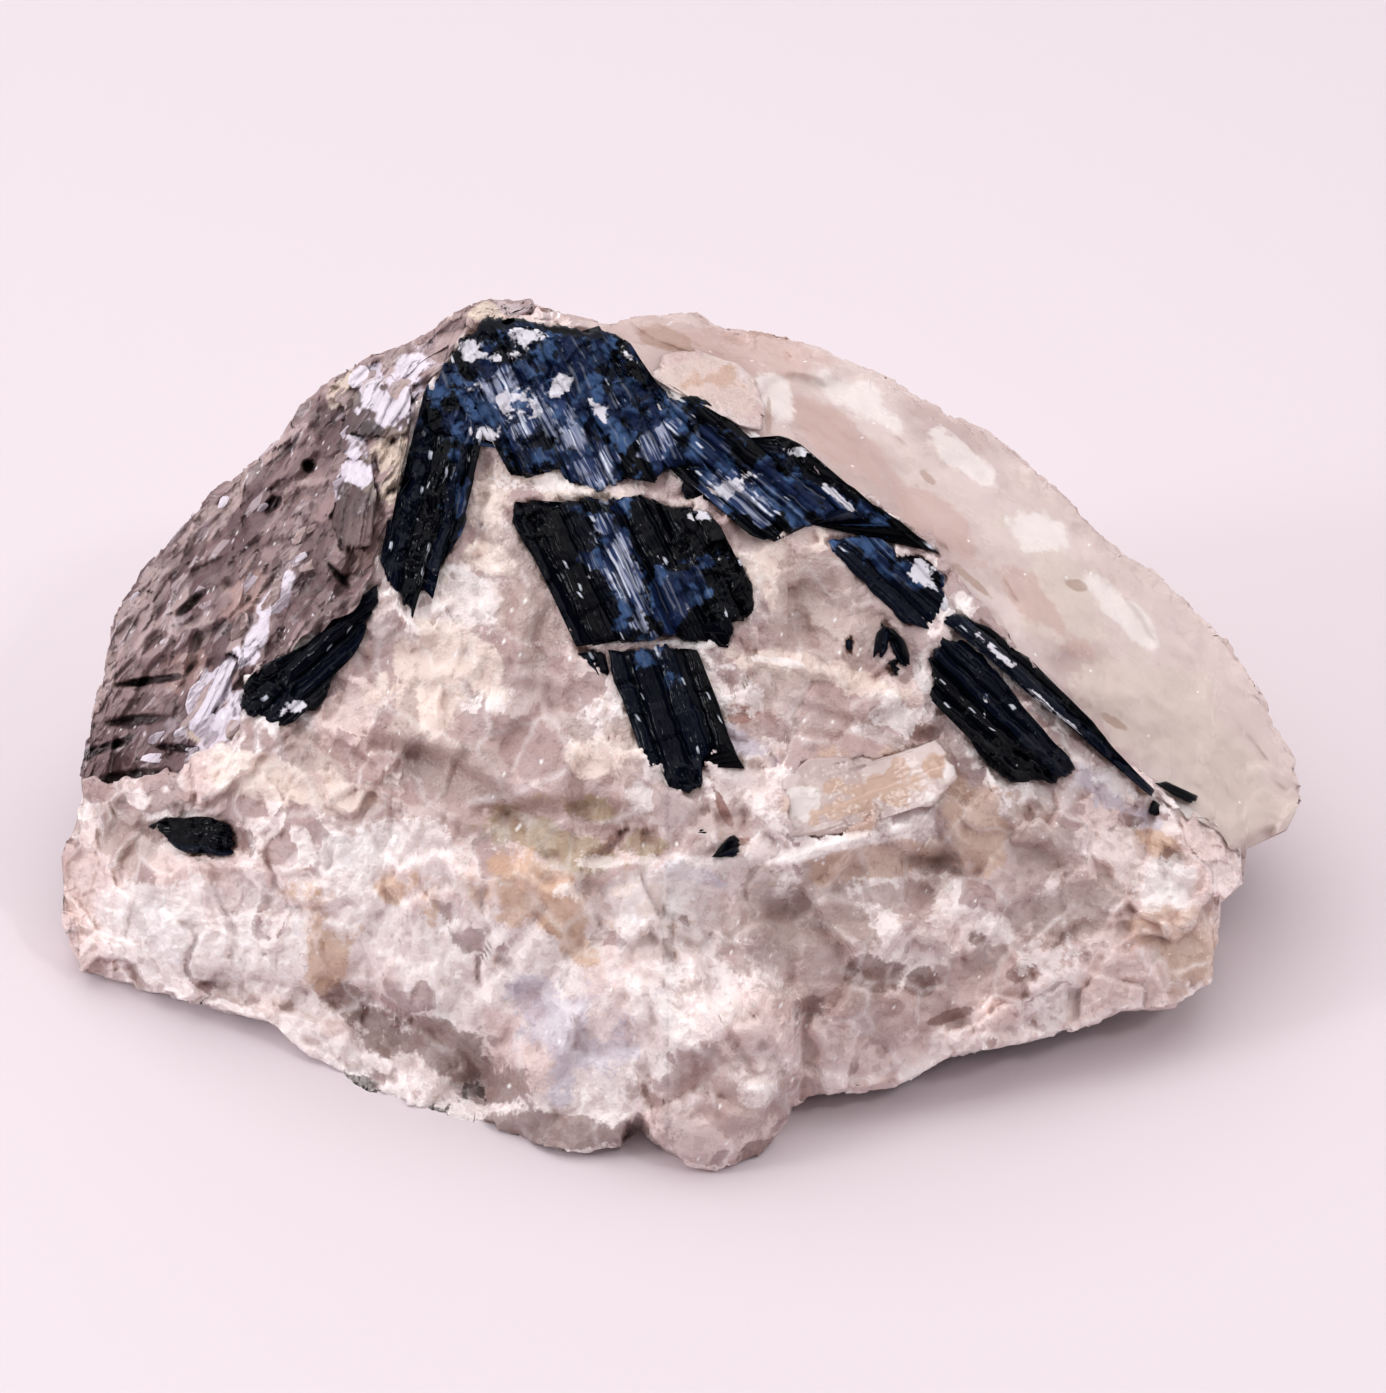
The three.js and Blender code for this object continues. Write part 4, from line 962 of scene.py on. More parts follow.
def halved(loops, fields, cut, middle):
    """The skins of the loops before and after a cut. Each half goes on for three loops past it, sunk by
    a growing share towards the middle depth, so that the halves' ends lie hidden beneath each other."""
    u, v, w = loops
    skins = []
    for part, ends in ((slice(0, cut + 3), (-3, -2, -1)), (slice(cut - 3, None), (2, 1, 0))):
        half = w[part].copy()
        for share, end in zip(SINK_SHARES, ends):
            half[end] += share * (middle[part][end] - half[end])
        carried = {name: field[part] for name, field in fields.items()}
        skins.append(skin(seen(u[part], v[part], half), carried))
    return skins


print("each half goes on for three loops past the cut")

# %% [markdown]
# The feldspar front is the largest mass. Its skin goes up the broken face and comes back 5 mm
# further in, inside the rock. Masks for its patches are worked out at the same places: rust, grey
# and tan grains of quartz, olive hollows, a lilac patch and dark grains beneath.

# %% The feldspar front
FRONT_START, FRONT_END = -36.6, 31.9
FRONT_COLUMN = 0.165
FRONT_ROWS, FRONT_WALL, FRONT_BACK, FRONT_OVER = 208, 20, 12, 4
FRONT_CUT = -1.4
FRONT_RIM, BACK_RIM, SEAM_STEP = 0.28, 0.3, 0.5
COLLAR_SHARE = 0.85
# The shares of points painted near white as highlights on each mineral.
FELDSPAR_GLINTS, QUARTZ_GLINTS, MICA_GLINTS = 0.0025, 0.0006, 0.003

u = columns(FRONT_COLUMN, FRONT_START, FRONT_END, LOWER_EDGE, UPPER_EDGE, SEAM)
low = line_at(LOWER_EDGE, u)
top = line_at(UPPER_EDGE, u)
high = np.minimum(ragged(line_at(SEAM, u), u, SEAM_STEP, 201) + OVERLAP, top)
high = np.maximum(high, low + LEAST_HEIGHT)

face_u, face_v = sheet(u, low, high, FRONT_ROWS)
face_w = feldspar_depth(face_u, face_v)
tourmalines = sum(CRYSTALS.values(), []) + SPECKS
face_w = fitted_to_crystals(face_u, face_v, face_w, tourmalines, front_base, COLLAR_SHARE)
face_w = fitted_to_crystals(face_u, face_v, face_w, GRAINS["quartz_block_front"], front_base)
back_u, back_v = sheet(u, high, low, FRONT_BACK)
back_w = np.maximum(front_base(back_u, back_v) - INNER_DEPTH, back_depth(back_u, back_v) + 0.1)
face_w, back_w = ground_clamp(face_v, face_w), ground_clamp(back_v, back_w)
face, back = (face_u, face_v, face_w), (back_u, back_v, back_w)
over = wall(row_of(face, -1), row_of(back, 0), FRONT_OVER)
under = wall(row_of(back, -1), row_of(face, 0), FRONT_WALL)
inner, outer = np.zeros((len(u), FRONT_OVER + FRONT_BACK)), np.ones((len(u), FRONT_WALL))
rim = np.concatenate([rim_weight(face_v, low, high), inner, outer], 1)
loop_u, loop_v, loop_w = stacked([face, over, back, under], 1)
loop_u, loop_v = roughen_rim(loop_u, loop_v, loop_w, rim, FRONT_RIM)
loop_w = ground_clamp(loop_v, loop_w)
front_fields = ragged_fields(loop_u, loop_v, FRONT_PATCHES, 1.9, 0.6)
front_place = seen(loop_u, loop_v, loop_w) - CENTRE
front_fields["mottle"] = rough_noise(front_place, 5, 3, 601)
front_fields["cloud"] = rough_noise(front_place, 1.9, 3, 611)
# Depth of each place on the face below those around it, from which shade is painted into the hollows.
recess_shade = np.zeros_like(loop_w)
recess_shade[:, :FRONT_ROWS] = face_w - blurred(face_w, 24)
front_fields["recess_shade"] = recess_shade
facet_w = loop_w.copy()
facet_w[:, :FRONT_ROWS] = front_base(face_u, face_v)
facet_place = feldspar_place(loop_u, loop_v, facet_w)
wide_tone, vein = grain_tone(facet_place, 3, 11)
fine_tone, _ = grain_tone(facet_place, 1.5, 71)
above_brow = 0.2 * np.tanh((loop_v + 8.5) / 2)
front_fields["grain"] = 0.55 * wide_tone + 0.45 * fine_tone + above_brow - 0.04
front_fields["vein"] = vein * np.clip(0.5 + front_fields["cloud"], 0, 1)
# Painted highlights: single points that the material colours near white.
front_fields["glint"] = sprinkled(loop_w.shape, FELDSPAR_GLINTS, 801)
front_middle = front_base(loop_u, loop_v) - INNER_DEPTH / 2
cut = int(np.searchsorted(u, FRONT_CUT))
front_skins = halved((loop_u, loop_v, loop_w), front_fields, cut, front_middle)
print("front:", loop_u.shape[0], "loops of", loop_u.shape[1], "in two halves")

# %% [markdown]
# Quartz and mica share the rest. Each starts at the seam, goes up to the outline, down the whole
# back of the specimen and forward again beneath the feldspar. They meet at a wavy line on the back.

# %% The quartz back and the mica flank
BACK_MEETING = -9.0
FAR_LEFT = -33
UNDER_ROWS = 3
LOW_GAP, LOW_RISE, RISE_END, RISE_RAMP = 0.2, 2.5, 31.5, 2
BEHIND = 0.3
TOP_SLACK = 0.25
SWAY, SWAY_SIZE, SWAY_REACH = 1.6, 5, 3


def back_mass(first, last, depth, rows, channel):
    """The loops of a back mass over the columns from first to last, whose border with the other sways.
    Its low line keeps 2.7 mm above the outline's, except at the right end, where no feldspar stands
    before it. Its face is never deeper than the whole rock."""
    u = columns(rows["column"], first, last, LOWER_EDGE, UPPER_EDGE, SEAM)
    top = line_at(UPPER_EDGE, u)
    low = line_at(LOWER_EDGE, u) + LOW_GAP + LOW_RISE * np.clip((RISE_END - u) / RISE_RAMP, 0, 1)
    low = np.minimum(low, top - 2 * LEAST_HEIGHT)
    seam = ragged(line_at(SEAM, u), u, SEAM_STEP, 201) - OVERLAP
    seam = np.clip(seam, low + LEAST_HEIGHT, top - LEAST_HEIGHT)
    top = np.maximum(top, seam + LEAST_HEIGHT)
    face_u, face_v = sheet(u, seam, top, rows["face"])
    face_w = np.maximum(depth(face_u, face_v), back_depth(face_u, face_v) + BEHIND)
    face_w = ground_clamp(face_v, face_w)
    back_u, back_v = sheet(u, top, low, rows["back"])
    back_w = back_depth(back_u, back_v)
    place = seen(back_u, back_v, back_w) - CENTRE
    back_w = back_w - BEHIND - facet_lift(place, 7, 1.3, 1.5, channel)
    back_w = back_w - facet_lift(place, 2.8, 0.8, 1.5, channel + 10)
    back_w = back_w - facet_lift(place, 1.2, 0.4, 1.3, channel + 20)
    back_w = np.minimum(back_w, face_w[:, -1:] - 0.4)
    hidden_u, hidden_v = sheet(u, low, seam, rows["hidden"])
    hidden_w = front_base(hidden_u, hidden_v) - INNER_DEPTH + 1
    hidden_w = np.maximum(hidden_w, back_depth(hidden_u, hidden_v) + BEHIND)
    hidden_w = np.where(hidden_u < FAR_LEFT, np.minimum(hidden_w, face_w[:, :1] - BEHIND), hidden_w)
    back_w, hidden_w = ground_clamp(back_v, back_w), ground_clamp(hidden_v, hidden_w) + 0.05
    face, back = (face_u, face_v, face_w), (back_u, back_v, back_w)
    hidden = (hidden_u, hidden_v, hidden_w)
    over = wall(row_of(face, -1), row_of(back, 0), rows["wall"])
    under = wall(row_of(back, -1), row_of(hidden, 0), UNDER_ROWS)
    nowhere = np.full(len(u), -99.0)
    rim = np.concatenate([
        rim_weight(face_v, nowhere, top), np.ones((len(u), rows["wall"])), rim_weight(back_v, nowhere, top),
        np.zeros((len(u), UNDER_ROWS + rows["hidden"])),
    ], 1)
    loop_u, loop_v, loop_w = stacked([face, over, back, under, hidden], 1)
    loop_u, loop_v = roughen_rim(loop_u, loop_v, loop_w, rim, BACK_RIM)
    loop_v = np.minimum(loop_v, top[:, None] + TOP_SLACK)
    near_border = np.exp(-(((loop_u - BACK_MEETING) / SWAY_REACH) ** 2))
    sway = smooth_noise(np.stack([loop_v * 0, loop_v, loop_w], -1), SWAY_SIZE, 301) * near_border
    loop_u = loop_u + SWAY * sway
    return loop_u, loop_v, ground_clamp(loop_v, loop_w)


QUARTZ_ROWS = {"column": 0.17, "face": 98, "wall": 32, "back": 86, "hidden": 8}
quartz_loops = back_mass(BACK_MEETING - 0.1, 35.4, quartz_depth, QUARTZ_ROWS, 21)
MICA_ROWS = {"column": 0.16, "face": 118, "wall": 34, "back": 90, "hidden": 8}
mica_loops = back_mass(-36.3, BACK_MEETING + 0.1, mica_depth, MICA_ROWS, 31)
print("quartz:", quartz_loops[0].shape, "mica:", mica_loops[0].shape)

# %% [markdown]
# Both masses get the numbers that their materials read. The mica also gives way beneath its largest
# leaves, and remembers how deep each place lies below the ones around it, so that its material can
# paint shade into the hollows.

# %% Fields of the back masses
quartz_fields = ragged_fields(*quartz_loops[:2], QUARTZ_PATCHES, 2.6, 0.45)
mica_fields = ragged_fields(*mica_loops[:2], MICA_PATCHES, 1.1, 0.65)
quartz_place = seen(*quartz_loops) - CENTRE
quartz_fields["mottle"] = rough_noise(quartz_place, 7, 3, 621)
quartz_fields["cloud"] = rough_noise(quartz_place, 2.2, 4, 631)


def mica_base(u, v):
    """The mica's flat faces: where the sight line enters its hull."""
    return crossings(MICA, u, v)[0]


mica_u, mica_v, mica_w = mica_loops
mica_face = slice(0, MICA_ROWS["face"])
leaf_w = mica_w.copy()
leaf_w[:, mica_face] = mica_base(mica_u[:, mica_face], mica_v[:, mica_face])
leaf_place = mica_place(mica_u, mica_v, leaf_w)
leaf_tones = [grain_tone(leaf_place, size, channel)[0] for size, channel in ((1.8, 51), (0.8, 61))]
mica_fields["grain"] = 0.6 * leaf_tones[0] + 0.4 * leaf_tones[1]
# Painted highlights: single points that the materials colour near white.
mica_fields["glint"] = sprinkled(leaf_w.shape, MICA_GLINTS, 803)
quartz_fields["glint"] = sprinkled(quartz_place.shape[:2], QUARTZ_GLINTS, 802)
mica_fields["mottle"] = rough_noise(leaf_place, 2.6, 4, 641)
MICA_PIECES = ("mica_book_upper", "mica_book_middle", "mica_lath")
mica_seats = [{**leaf, "lift": leaf["lift"] - 0.2} for name in MICA_PIECES for leaf in GRAINS[name]]
fitted_w = fitted_to_crystals(mica_u, mica_v, mica_w.copy(), mica_seats, mica_base)[:, mica_face]
mica_w[:, mica_face] = fitted_w
# Depth of each place on the flank below those around it, from which shade is painted into the hollows.
mica_fields["recess_shade"] = np.zeros_like(mica_w)
mica_fields["recess_shade"][:, mica_face] = fitted_w - blurred(fitted_w, 20)
quartz_skin = skin(seen(*quartz_loops), quartz_fields)
mica_skin = skin(seen(*mica_loops), mica_fields)
print("points in the skins of quartz and mica:", len(quartz_skin[0]), len(mica_skin[0]))

# %% [markdown]
# Single leaves of mica stick out of the flank and flash like silver. Each is a thin plate with an
# uneven outline. A few clusters of them are scattered by chance about given places, each plate
# resting on the flank's own surface and tilted a little away from it.

# %% Loose leaves of mica
LEAF_THICKNESS = 0.09
LEAF_CORNERS = 9
LEAF_CLUSTERS = [  # u, v, spread, number, length, width, turn
    (-27.9, 0.2, 1.1, 9, 2.2, 0.8, 62), (-27.3, -3, 1.3, 10, 1.4, 0.9, 50),
    (-25.2, 5.2, 1.3, 7, 1.6, 0.6, 66), (-18.4, 17, 1.7, 12, 1.7, 1.2, 30),
    (-19.7, 12.8, 0.9, 6, 1.5, 1.2, 80), (-23, 8.6, 1.2, 6, 1.3, 0.6, 40),
    (-31, 3, 3, 5, 0.9, 0.4, 44), (-26, 9.6, 3, 4, 0.8, 0.4, 48), (-29.8, -3.4, 1.4, 5, 1.2, 0.5, 15),
]


def leaf_plate(u, v, w, length, width, turn, number):
    """One plate. Corner k lies at the angle k of a full turn, at a distance of 0.75 + 0.5 chance times
    the half length and width; the plate is then turned in the layout and tilted by two chances."""
    salt = [chance(np.array([number, k, 0.0]), 700) for k in range(LEAF_CORNERS + 4)]
    corner = np.arange(LEAF_CORNERS) / LEAF_CORNERS * 2 * math.pi
    reach = 0.75 + 0.5 * np.array(salt[:LEAF_CORNERS])
    a = math.radians(turn + 40 * (salt[-1] - 0.5))
    x, y = reach * np.cos(corner) * length / 2, reach * np.sin(corner) * width / 2
    loops = []
    for size, lift in ((0.9, 0), (1, 0.25), (1, 0.75), (0.9, 1)):
        plate_u = size * (x * math.cos(a) - y * math.sin(a))
        plate_v = size * (x * math.sin(a) + y * math.cos(a))
        tilt = 0.9 * (salt[-2] - 0.5) * plate_u + 0.9 * (salt[-3] - 0.5) * plate_v
        loops.append(seen(u + plate_u, v + plate_v, w + tilt + lift * LEAF_THICKNESS))
    loops = np.stack(loops)[:, ::-1]
    tone = {"bright": 1.3 * salt[-4] - 0.4, "mottle": salt[-1], "grain": 0.5 + 0.5 * salt[-2]}
    return skin(loops, {key: np.full(loops.shape[:2], value) for key, value in tone.items()})


leaf_skins = []
flank_u, flank_v, flank_w = (grid[:, mica_face] for grid in mica_loops)
for cluster, (cu, cv, spread, number, length, width, turn) in enumerate(LEAF_CLUSTERS):
    for k in range(number):
        luck = [chance(np.array([cluster, k, c]), 710) for c in (0.0, 1.0, 2.0)]
        u, v = cu + 2 * spread * (luck[0] - 0.5), cv + 2 * spread * (luck[1] - 0.5)
        nearest = np.argmin((flank_u - u) ** 2 + (flank_v - v) ** 2)
        size = 0.6 + 0.8 * luck[2]
        w = flank_w.flat[nearest] + 0.2
        leaf_skins.append(leaf_plate(u, v, w, size * length, size * width, turn, 20 * cluster + k))
print(len(leaf_skins), "loose leaves")

# %% [markdown]
# A tourmaline crystal grows as a bundle of columns, with fine lines along each one. Across the axis
# the surface is therefore a row of small roofs of uneven width, height and tilt. Along the axis each
# column is broken into lengths that are stepped a little, and its ends are ragged.

# %% Columns of a crystal
ALONG_STEP, ACROSS_STEP = 0.13, 0.062
ROOT_DEPTH = 2.2
FINE_WIDTH = 0.33
RIDGE_SHARE, SPARK_SHARE = 0.35, 0.014


def stretches(across, corners):
    """For each line across a bundle, where it first enters its outline and last leaves it."""
    first, last = np.full(across.shape, np.inf), np.full(across.shape, -np.inf)
    for (a0, b0), (a1, b1) in zip(corners, np.roll(corners, -1, 0)):
        t = (across - b0) / (b1 - b0 if abs(b1 - b0) > 1e-9 else 1e-9)
        met = (t >= 0) & (t <= 1)
        first = np.where(met, np.minimum(first, a0 + t * (a1 - a0)), first)
        last = np.where(met, np.maximum(last, a0 + t * (a1 - a0)), last)
    return first, last


def column_profile(across, width, channel):
    """Which column each line lies in, from 0 to 1 where in it, and the columns' uneven edges."""
    low, high = across.min(), across.max()
    count = max(1, round((high - low) / width))
    cell = np.stack([np.arange(1, count), np.full(count - 1, channel), np.zeros(count - 1)], -1)
    cuts = low + (np.arange(1, count) + 0.7 * (chance(cell, 401) - 0.5)) * (high - low) / count
    number = np.searchsorted(cuts, across)
    edges = np.concatenate([[low], cuts, [high]])
    return number, (across - edges[number]) / (edges[number + 1] - edges[number])


def picked(number, channel, salt):
    """A chance from -1/2 to 1/2 for each column."""
    cell = np.stack([number, np.full_like(number, channel), number * 0], -1).astype(float)
    return chance(cell, salt) - 0.5


def crystal_skin(bundle, masks, host=FRONT):
    """The skin of one bundle: loops across it, one for each place along it.
    Height = the host's face + lift + each column's step and tilt - a roof that falls to the column's
    edges + finer columns + broken lengths along it + pebbles where the mask says. Where the masks tell
    of steely blue with painted sheen, some of the fine columns' edges get painted glints, and short
    painted sparks of highlight lie along the others."""
    angle, channel = math.radians(bundle["turn"]), bundle["channel"]
    cos, sin = math.cos(angle), math.sin(angle)
    corners = np.array([(u * cos + v * sin, v * cos - u * sin) for u, v in bundle["outline"]])
    low, high = corners[:, 1].min() + 0.03, corners[:, 1].max() - 0.03
    across = np.linspace(low, high, max(10, int((high - low) / ACROSS_STEP)))
    first, last = stretches(across, corners)
    number, within = column_profile(across, bundle["width"], channel)
    fine, fine_within = column_profile(across, FINE_WIDTH, channel + 40)
    first = first + 0.5 * picked(number, channel, 411) + 0.35 * picked(fine, channel, 412)
    last = last + 0.5 * picked(number, channel, 413) + 0.35 * picked(fine, channel, 414)
    last = np.maximum(last, first + 0.25)
    t = np.linspace(0, 1, max(8, int((last - first).max() / ALONG_STEP)))
    along = first + t[:, None] * (last - first)
    b = np.repeat(across[None], len(t), 0)
    u, v = along * cos - b * sin, along * sin + b * cos
    place = np.stack([u, v, np.full_like(u, channel)], -1)
    u = u + 0.11 * rough_noise(place, 1.1, 3, 461)
    v = v + 0.11 * rough_noise(place, 1.1, 3, 471)

    striped, relief = bundle.get("striped", 1.0), bundle.get("relief", 1.0)
    roof = 0.34 * striped * bundle["width"] * np.abs(2 * within - 1) ** 2.4
    tilt = 0.5 * picked(number, channel, 415) * (within - 0.5) * bundle["width"]
    step = 0.55 * picked(number, channel, 416)
    small = 0.13 * picked(fine, channel, 417) - 0.07 * np.abs(2 * fine_within - 1) ** 2
    small = striped * (small + 0.25 * picked(fine, channel, 418) * (fine_within - 0.5) * FINE_WIDTH)
    lengths, short, tiny = (
        np.stack([along / length, np.repeat(which[None] * 9.0, len(t), 0), along * 0 + apart], -1)
        for length, which, apart in ((2.6, number, 0), (1.7, fine, 40), (0.4, fine, 80))
    )
    broken = 0.22 * facet_lift(lengths, 1, 1, 1.3, 421) + 0.05 * facet_lift(short, 1, 1, 1.2, 431)
    pebbles = facet_lift(place, 0.9, 0.36, 1.5, 441) + facet_lift(place, 0.45, 0.12, 1.4, 451)
    pebbly = np.clip(2.5 * oval_field(u, v, masks["pebbly"]) + 0.3, 0.06, 1)
    ends = 0.25 * (np.exp(-(along - first) / 0.12) + np.exp(-(last - along) / 0.12))
    base = crossings(host, u, v)[0]
    ribs = (step + tilt - roof + small) * (1 - 0.6 * pebbly) + broken
    w = base + bundle["lift"] + relief * ribs + pebbles * pebbly - ends

    root = ground_clamp(v, base - ROOT_DEPTH)
    left, right = [], []
    for top, foot in ((u, u), (v, v), (w, root)):
        left.append(np.stack([top[:, -1] * (1 - s) + foot[:, -1] * s for s in (0.25, 0.6)], 1))
        right.append(np.stack([foot[:, 0] * s + top[:, 0] * (1 - s) for s in (0.6, 0.25)], 1))
    under = [x[:, [-1, x.shape[1] // 2, 0]] for x in (u, v, root)]
    loop_u, loop_v, loop_w = stacked([(u, v, w), left, under, right], 1)
    fields = ragged_fields(loop_u, loop_v, masks, 1.0, 0.7)
    loop_place = seen(loop_u, loop_v, loop_w) - CENTRE
    fields["mottle"] = rough_noise(loop_place, 2.4, 3, 661)
    fields["cloud"] = rough_noise(loop_place, 0.9, 3, 671)
    fields["along"] = loop_u * cos + loop_v * sin
    fields["across"] = loop_v * cos - loop_u * sin
    fields["column"] = np.zeros_like(loop_u)
    fields["column"][:, : len(across)] = (picked(number, channel, 419) + 0.5)[None]
    # Painted shade: dark at the edges of each column and all over the bundle's sides and underside.
    fields["groove_shade"] = np.ones_like(loop_u)
    fields["groove_shade"][:, : len(across)] = (np.abs(2 * within - 1) ** 3)[None]
    # Painted highlights: glints on the fine columns' edges within the steel-blue sheen, and short sparks on
    # the others.
    if "steel_and_sheen" in masks:
        top = slice(0, len(across))
        ridges = (fine_within > 0.7)[None] * (chance(np.floor(short), 841) < RIDGE_SHARE)
        sparks = (fine_within > 0.6)[None] * (chance(np.floor(tiny), 851) < SPARK_SHARE)
        lit = np.clip(2.5 * fields["steel_and_sheen"][:, top], 0, 1)
        lit = lit + 0.12 * np.clip(2 * fields["blue"][:, top], 0, 1)
        fields["glint"] = np.zeros_like(loop_u)
        fields["glint"][:, top] = np.minimum(ridges * lit + 0.8 * sparks, 1)
    return skin(seen(loop_u, loop_v, loop_w), fields)


TOURMALINE_MASKS = {
    "blue": [
        (-6, 13.6, 2, 3.6, 24), (-4.4, 7.6, 1.3, 5, 23), (-1, 6, 1.6, 2.6, -20), (-8, 17, 6, 4, -10),
        (2, 12.4, 2.4, 1.6, -30), (6, 11.4, 4, 1.6, -30), (-1.6, 15.6, 2, 2, 0), (-13.6, 11, 0.8, 3, 0),
        (10, 9.4, 2.6, 1, -20), (1, 14.6, 2, 1, -40), (15.6, 6, 2, 0.8, -45), (12.8, 7.4, 1.4, 0.8, -40),
    ],
    # Steel-blue patches, whose silver lines are painted sheen and which carry painted glints.
    "steel_and_sheen": [
        (-6.2, 13.4, 1.1, 2.6, 24), (-4.2, 7.4, 0.8, 4.4, 23), (2.1, 11.9, 1.5, 0.9, 30),
        (3.4, 11.2, 1.6, 0.8, -30), (-9.4, 16.2, 1.4, 1.2, 0), (-1.8, 15, 0.9, 1.5, -20),
        (-11.4, 17.6, 1.4, 1, 0),
    ],
    "frost": [
        (-12.3, 19.9, 1.6, 0.5, -8), (-9.4, 21, 1, 0.6, 0), (-10.4, 17.4, 1.8, 0.8, -20),
        (-12.2, 15.4, 0.8, 0.4, 0), (2.2, 12.2, 1.1, 0.6, 20), (-7.6, 18.2, 1.2, 0.4, 60),
        (-5.4, 16.6, 1.2, 0.4, -50), (13.8, 7.1, 0.9, 0.8, 0), (15, 5.5, 0.7, 0.6, 0),
        (6.3, 14.3, 0.7, 0.3, 0), (-3.6, 19.6, 0.8, 0.3, -40), (-23, -0.6, 0.6, 0.4, 0),
        (17.6, 2.6, 1.6, 0.25, -42), (21, -0.9, 1.8, 0.2, -42), (0.6, 10.6, 0.8, 0.3, 0),
        (8.4, 11.6, 1.2, 0.2, -40),
    ],
    "pebbly": [
        (-9.4, 19, 5.4, 3.4, -12), (-12.6, 16.4, 2.8, 2.6, 0), (-3.4, 17.4, 3, 2.4, -30),
        (1, 7.6, 2.6, 3, 0), (-15.6, 11, 2, 7, 0), (-24.6, 0.2, 1.8, 1.8, 0), (-13.4, 20, 2, 2, 0),
        (-4.6, 19.4, 1.6, 2, 0), (6, 13.6, 1.4, 1.2, -30), (11.5, 10.4, 2, 0.8, -40),
        (-0.4, -5, 1.4, 1.4, 0), (19.4, -3.6, 2.6, 1.4, 0), (24, -2.6, 3.4, 1, -43), (-29, -8, 3, 1.6, 0),
        (2, -8.8, 1.4, 1, 0), (-9.6, 9.6, 1.4, 1.8, 0),
    ],
}
crystal_skins = {}
for name, bundles in CRYSTALS.items():
    crystal_skins[name] = [crystal_skin(some, TOURMALINE_MASKS) for some in bundles]
print("longest skin:", max(len(s[0]) for skins in crystal_skins.values() for s in skins), "points")

# %% [markdown]
# Every finish is made of nodes. A short helper keeps their making readable: it adds one node, and
# sets each of its sockets to a value or links it to another node's output.

# %% Helpers for nodes


def colour(red, green, blue):
    """A colour from its display values, 0 to 255, as Blender's linear light."""
    srgb = np.array([red, green, blue]) / 255
    linear = np.where(srgb <= 0.04045, srgb / 12.92, ((srgb + 0.055) / 1.055) ** 2.4)
    return (*linear.tolist(), 1)


def node(tree, kind, inputs=None, **settings):
    """Adds a shader node; inputs maps the name or number of a socket to a value or to an output."""
    made = tree.nodes.new(kind if kind.startswith("NodeGroup") else "ShaderNode" + kind)
    for key, value in settings.items():
        setattr(made, key, value)
    for key, value in (inputs or {}).items():
        if isinstance(value, bpy.types.NodeSocket):
            tree.links.new(value, made.inputs[key])
        else:
            made.inputs[key].default_value = value
    return made


def calc(tree, operation, *values):
    """A Math node's result."""
    return node(tree, "Math", dict(enumerate(values)), operation=operation).outputs[0]


def mixed(tree, factor, first, second):
    """A colour between two."""
    return node(tree, "Mix", {0: factor, 6: first, 7: second}, data_type="RGBA").outputs[2]


def between(tree, value, low, high, out_low=0.0, out_high=1.0):
    """A value moved smoothly from one range to another, and kept in it."""
    inputs = {"Value": value, "From Min": low, "From Max": high, "To Min": out_low, "To Max": out_high}
    return node(tree, "MapRange", inputs, interpolation_type="SMOOTHSTEP").outputs[0]


def noise(tree, point, size, detail=2.0, roughness=0.5):
    """Rolling noise from 0 to 1, with waves of the given size in the point's own units."""
    inputs = {"Vector": point, "Scale": 1 / size, "Detail": detail, "Roughness": roughness}
    return node(tree, "TexNoise", inputs).outputs["Fac"]


def group(name, inputs, outputs):
    """A shader node group with named inputs and outputs, and its two end nodes."""
    tree = bpy.data.node_groups.new(name, "ShaderNodeTree")
    for way, sockets in (("INPUT", inputs), ("OUTPUT", outputs)):
        for label, kind in sockets.items():
            tree.interface.new_socket(label, in_out=way, socket_type="NodeSocket" + kind)
    return tree, node(tree, "NodeGroupInput"), node(tree, "NodeGroupOutput")


def placed(tree, shared, inputs):
    """A shared group placed in a material, with values of its own."""
    return node(tree, "Group", inputs, node_tree=shared)


def new_material(name, settings):
    """A material with its shader's constants set, its points in millimetres and its shader."""
    material = bpy.data.materials.new(name)
    material.use_nodes = True
    tree = material.node_tree
    shader = tree.nodes["Principled BSDF"]
    for key, value in settings.items():
        shader.inputs[key].default_value = value
    shader.subsurface_method = "BURLEY"
    place = node(tree, "TexCoord").outputs["Object"]
    point = node(tree, "VectorMath", {0: place, "Scale": 1 / MM}, operation="SCALE").outputs[0]
    return material, tree, shader, point


def mask(tree, name):
    """A number that travels with the mesh's points."""
    return node(tree, "Attribute", attribute_name=name).outputs["Fac"]


print("node helpers ready")

# %% [markdown]
# Three effects are shared by all the minerals, so each is a node group. Grains split the surface
# into cells that catch the light in different directions. A patch turns a soft oval into a mask with
# a ragged edge. Fine break is the height of what is too small for the mesh.

# %% Shared groups
needs = {"Point": "Vector", "Size": "Float", "Tilt": "Float"}
GRAINS_GROUP, start, end = group("cleaved grains", needs, {"Shade": "Float", "Normal": "Vector"})
per_size = calc(GRAINS_GROUP, "DIVIDE", 1.0, start.outputs["Size"])
cells = node(GRAINS_GROUP, "TexVoronoi", {"Vector": start.outputs["Point"], "Scale": per_size})
middle = {0: cells.outputs["Color"], 1: (0.5, 0.5, 0.5)}
centred = node(GRAINS_GROUP, "VectorMath", middle, operation="SUBTRACT")
amount = {0: centred.outputs[0], "Scale": start.outputs["Tilt"]}
tilted = node(GRAINS_GROUP, "VectorMath", amount, operation="SCALE")
surface = node(GRAINS_GROUP, "NewGeometry").outputs["Normal"]
leaning = node(GRAINS_GROUP, "VectorMath", {0: tilted.outputs[0], 1: surface}, operation="ADD")
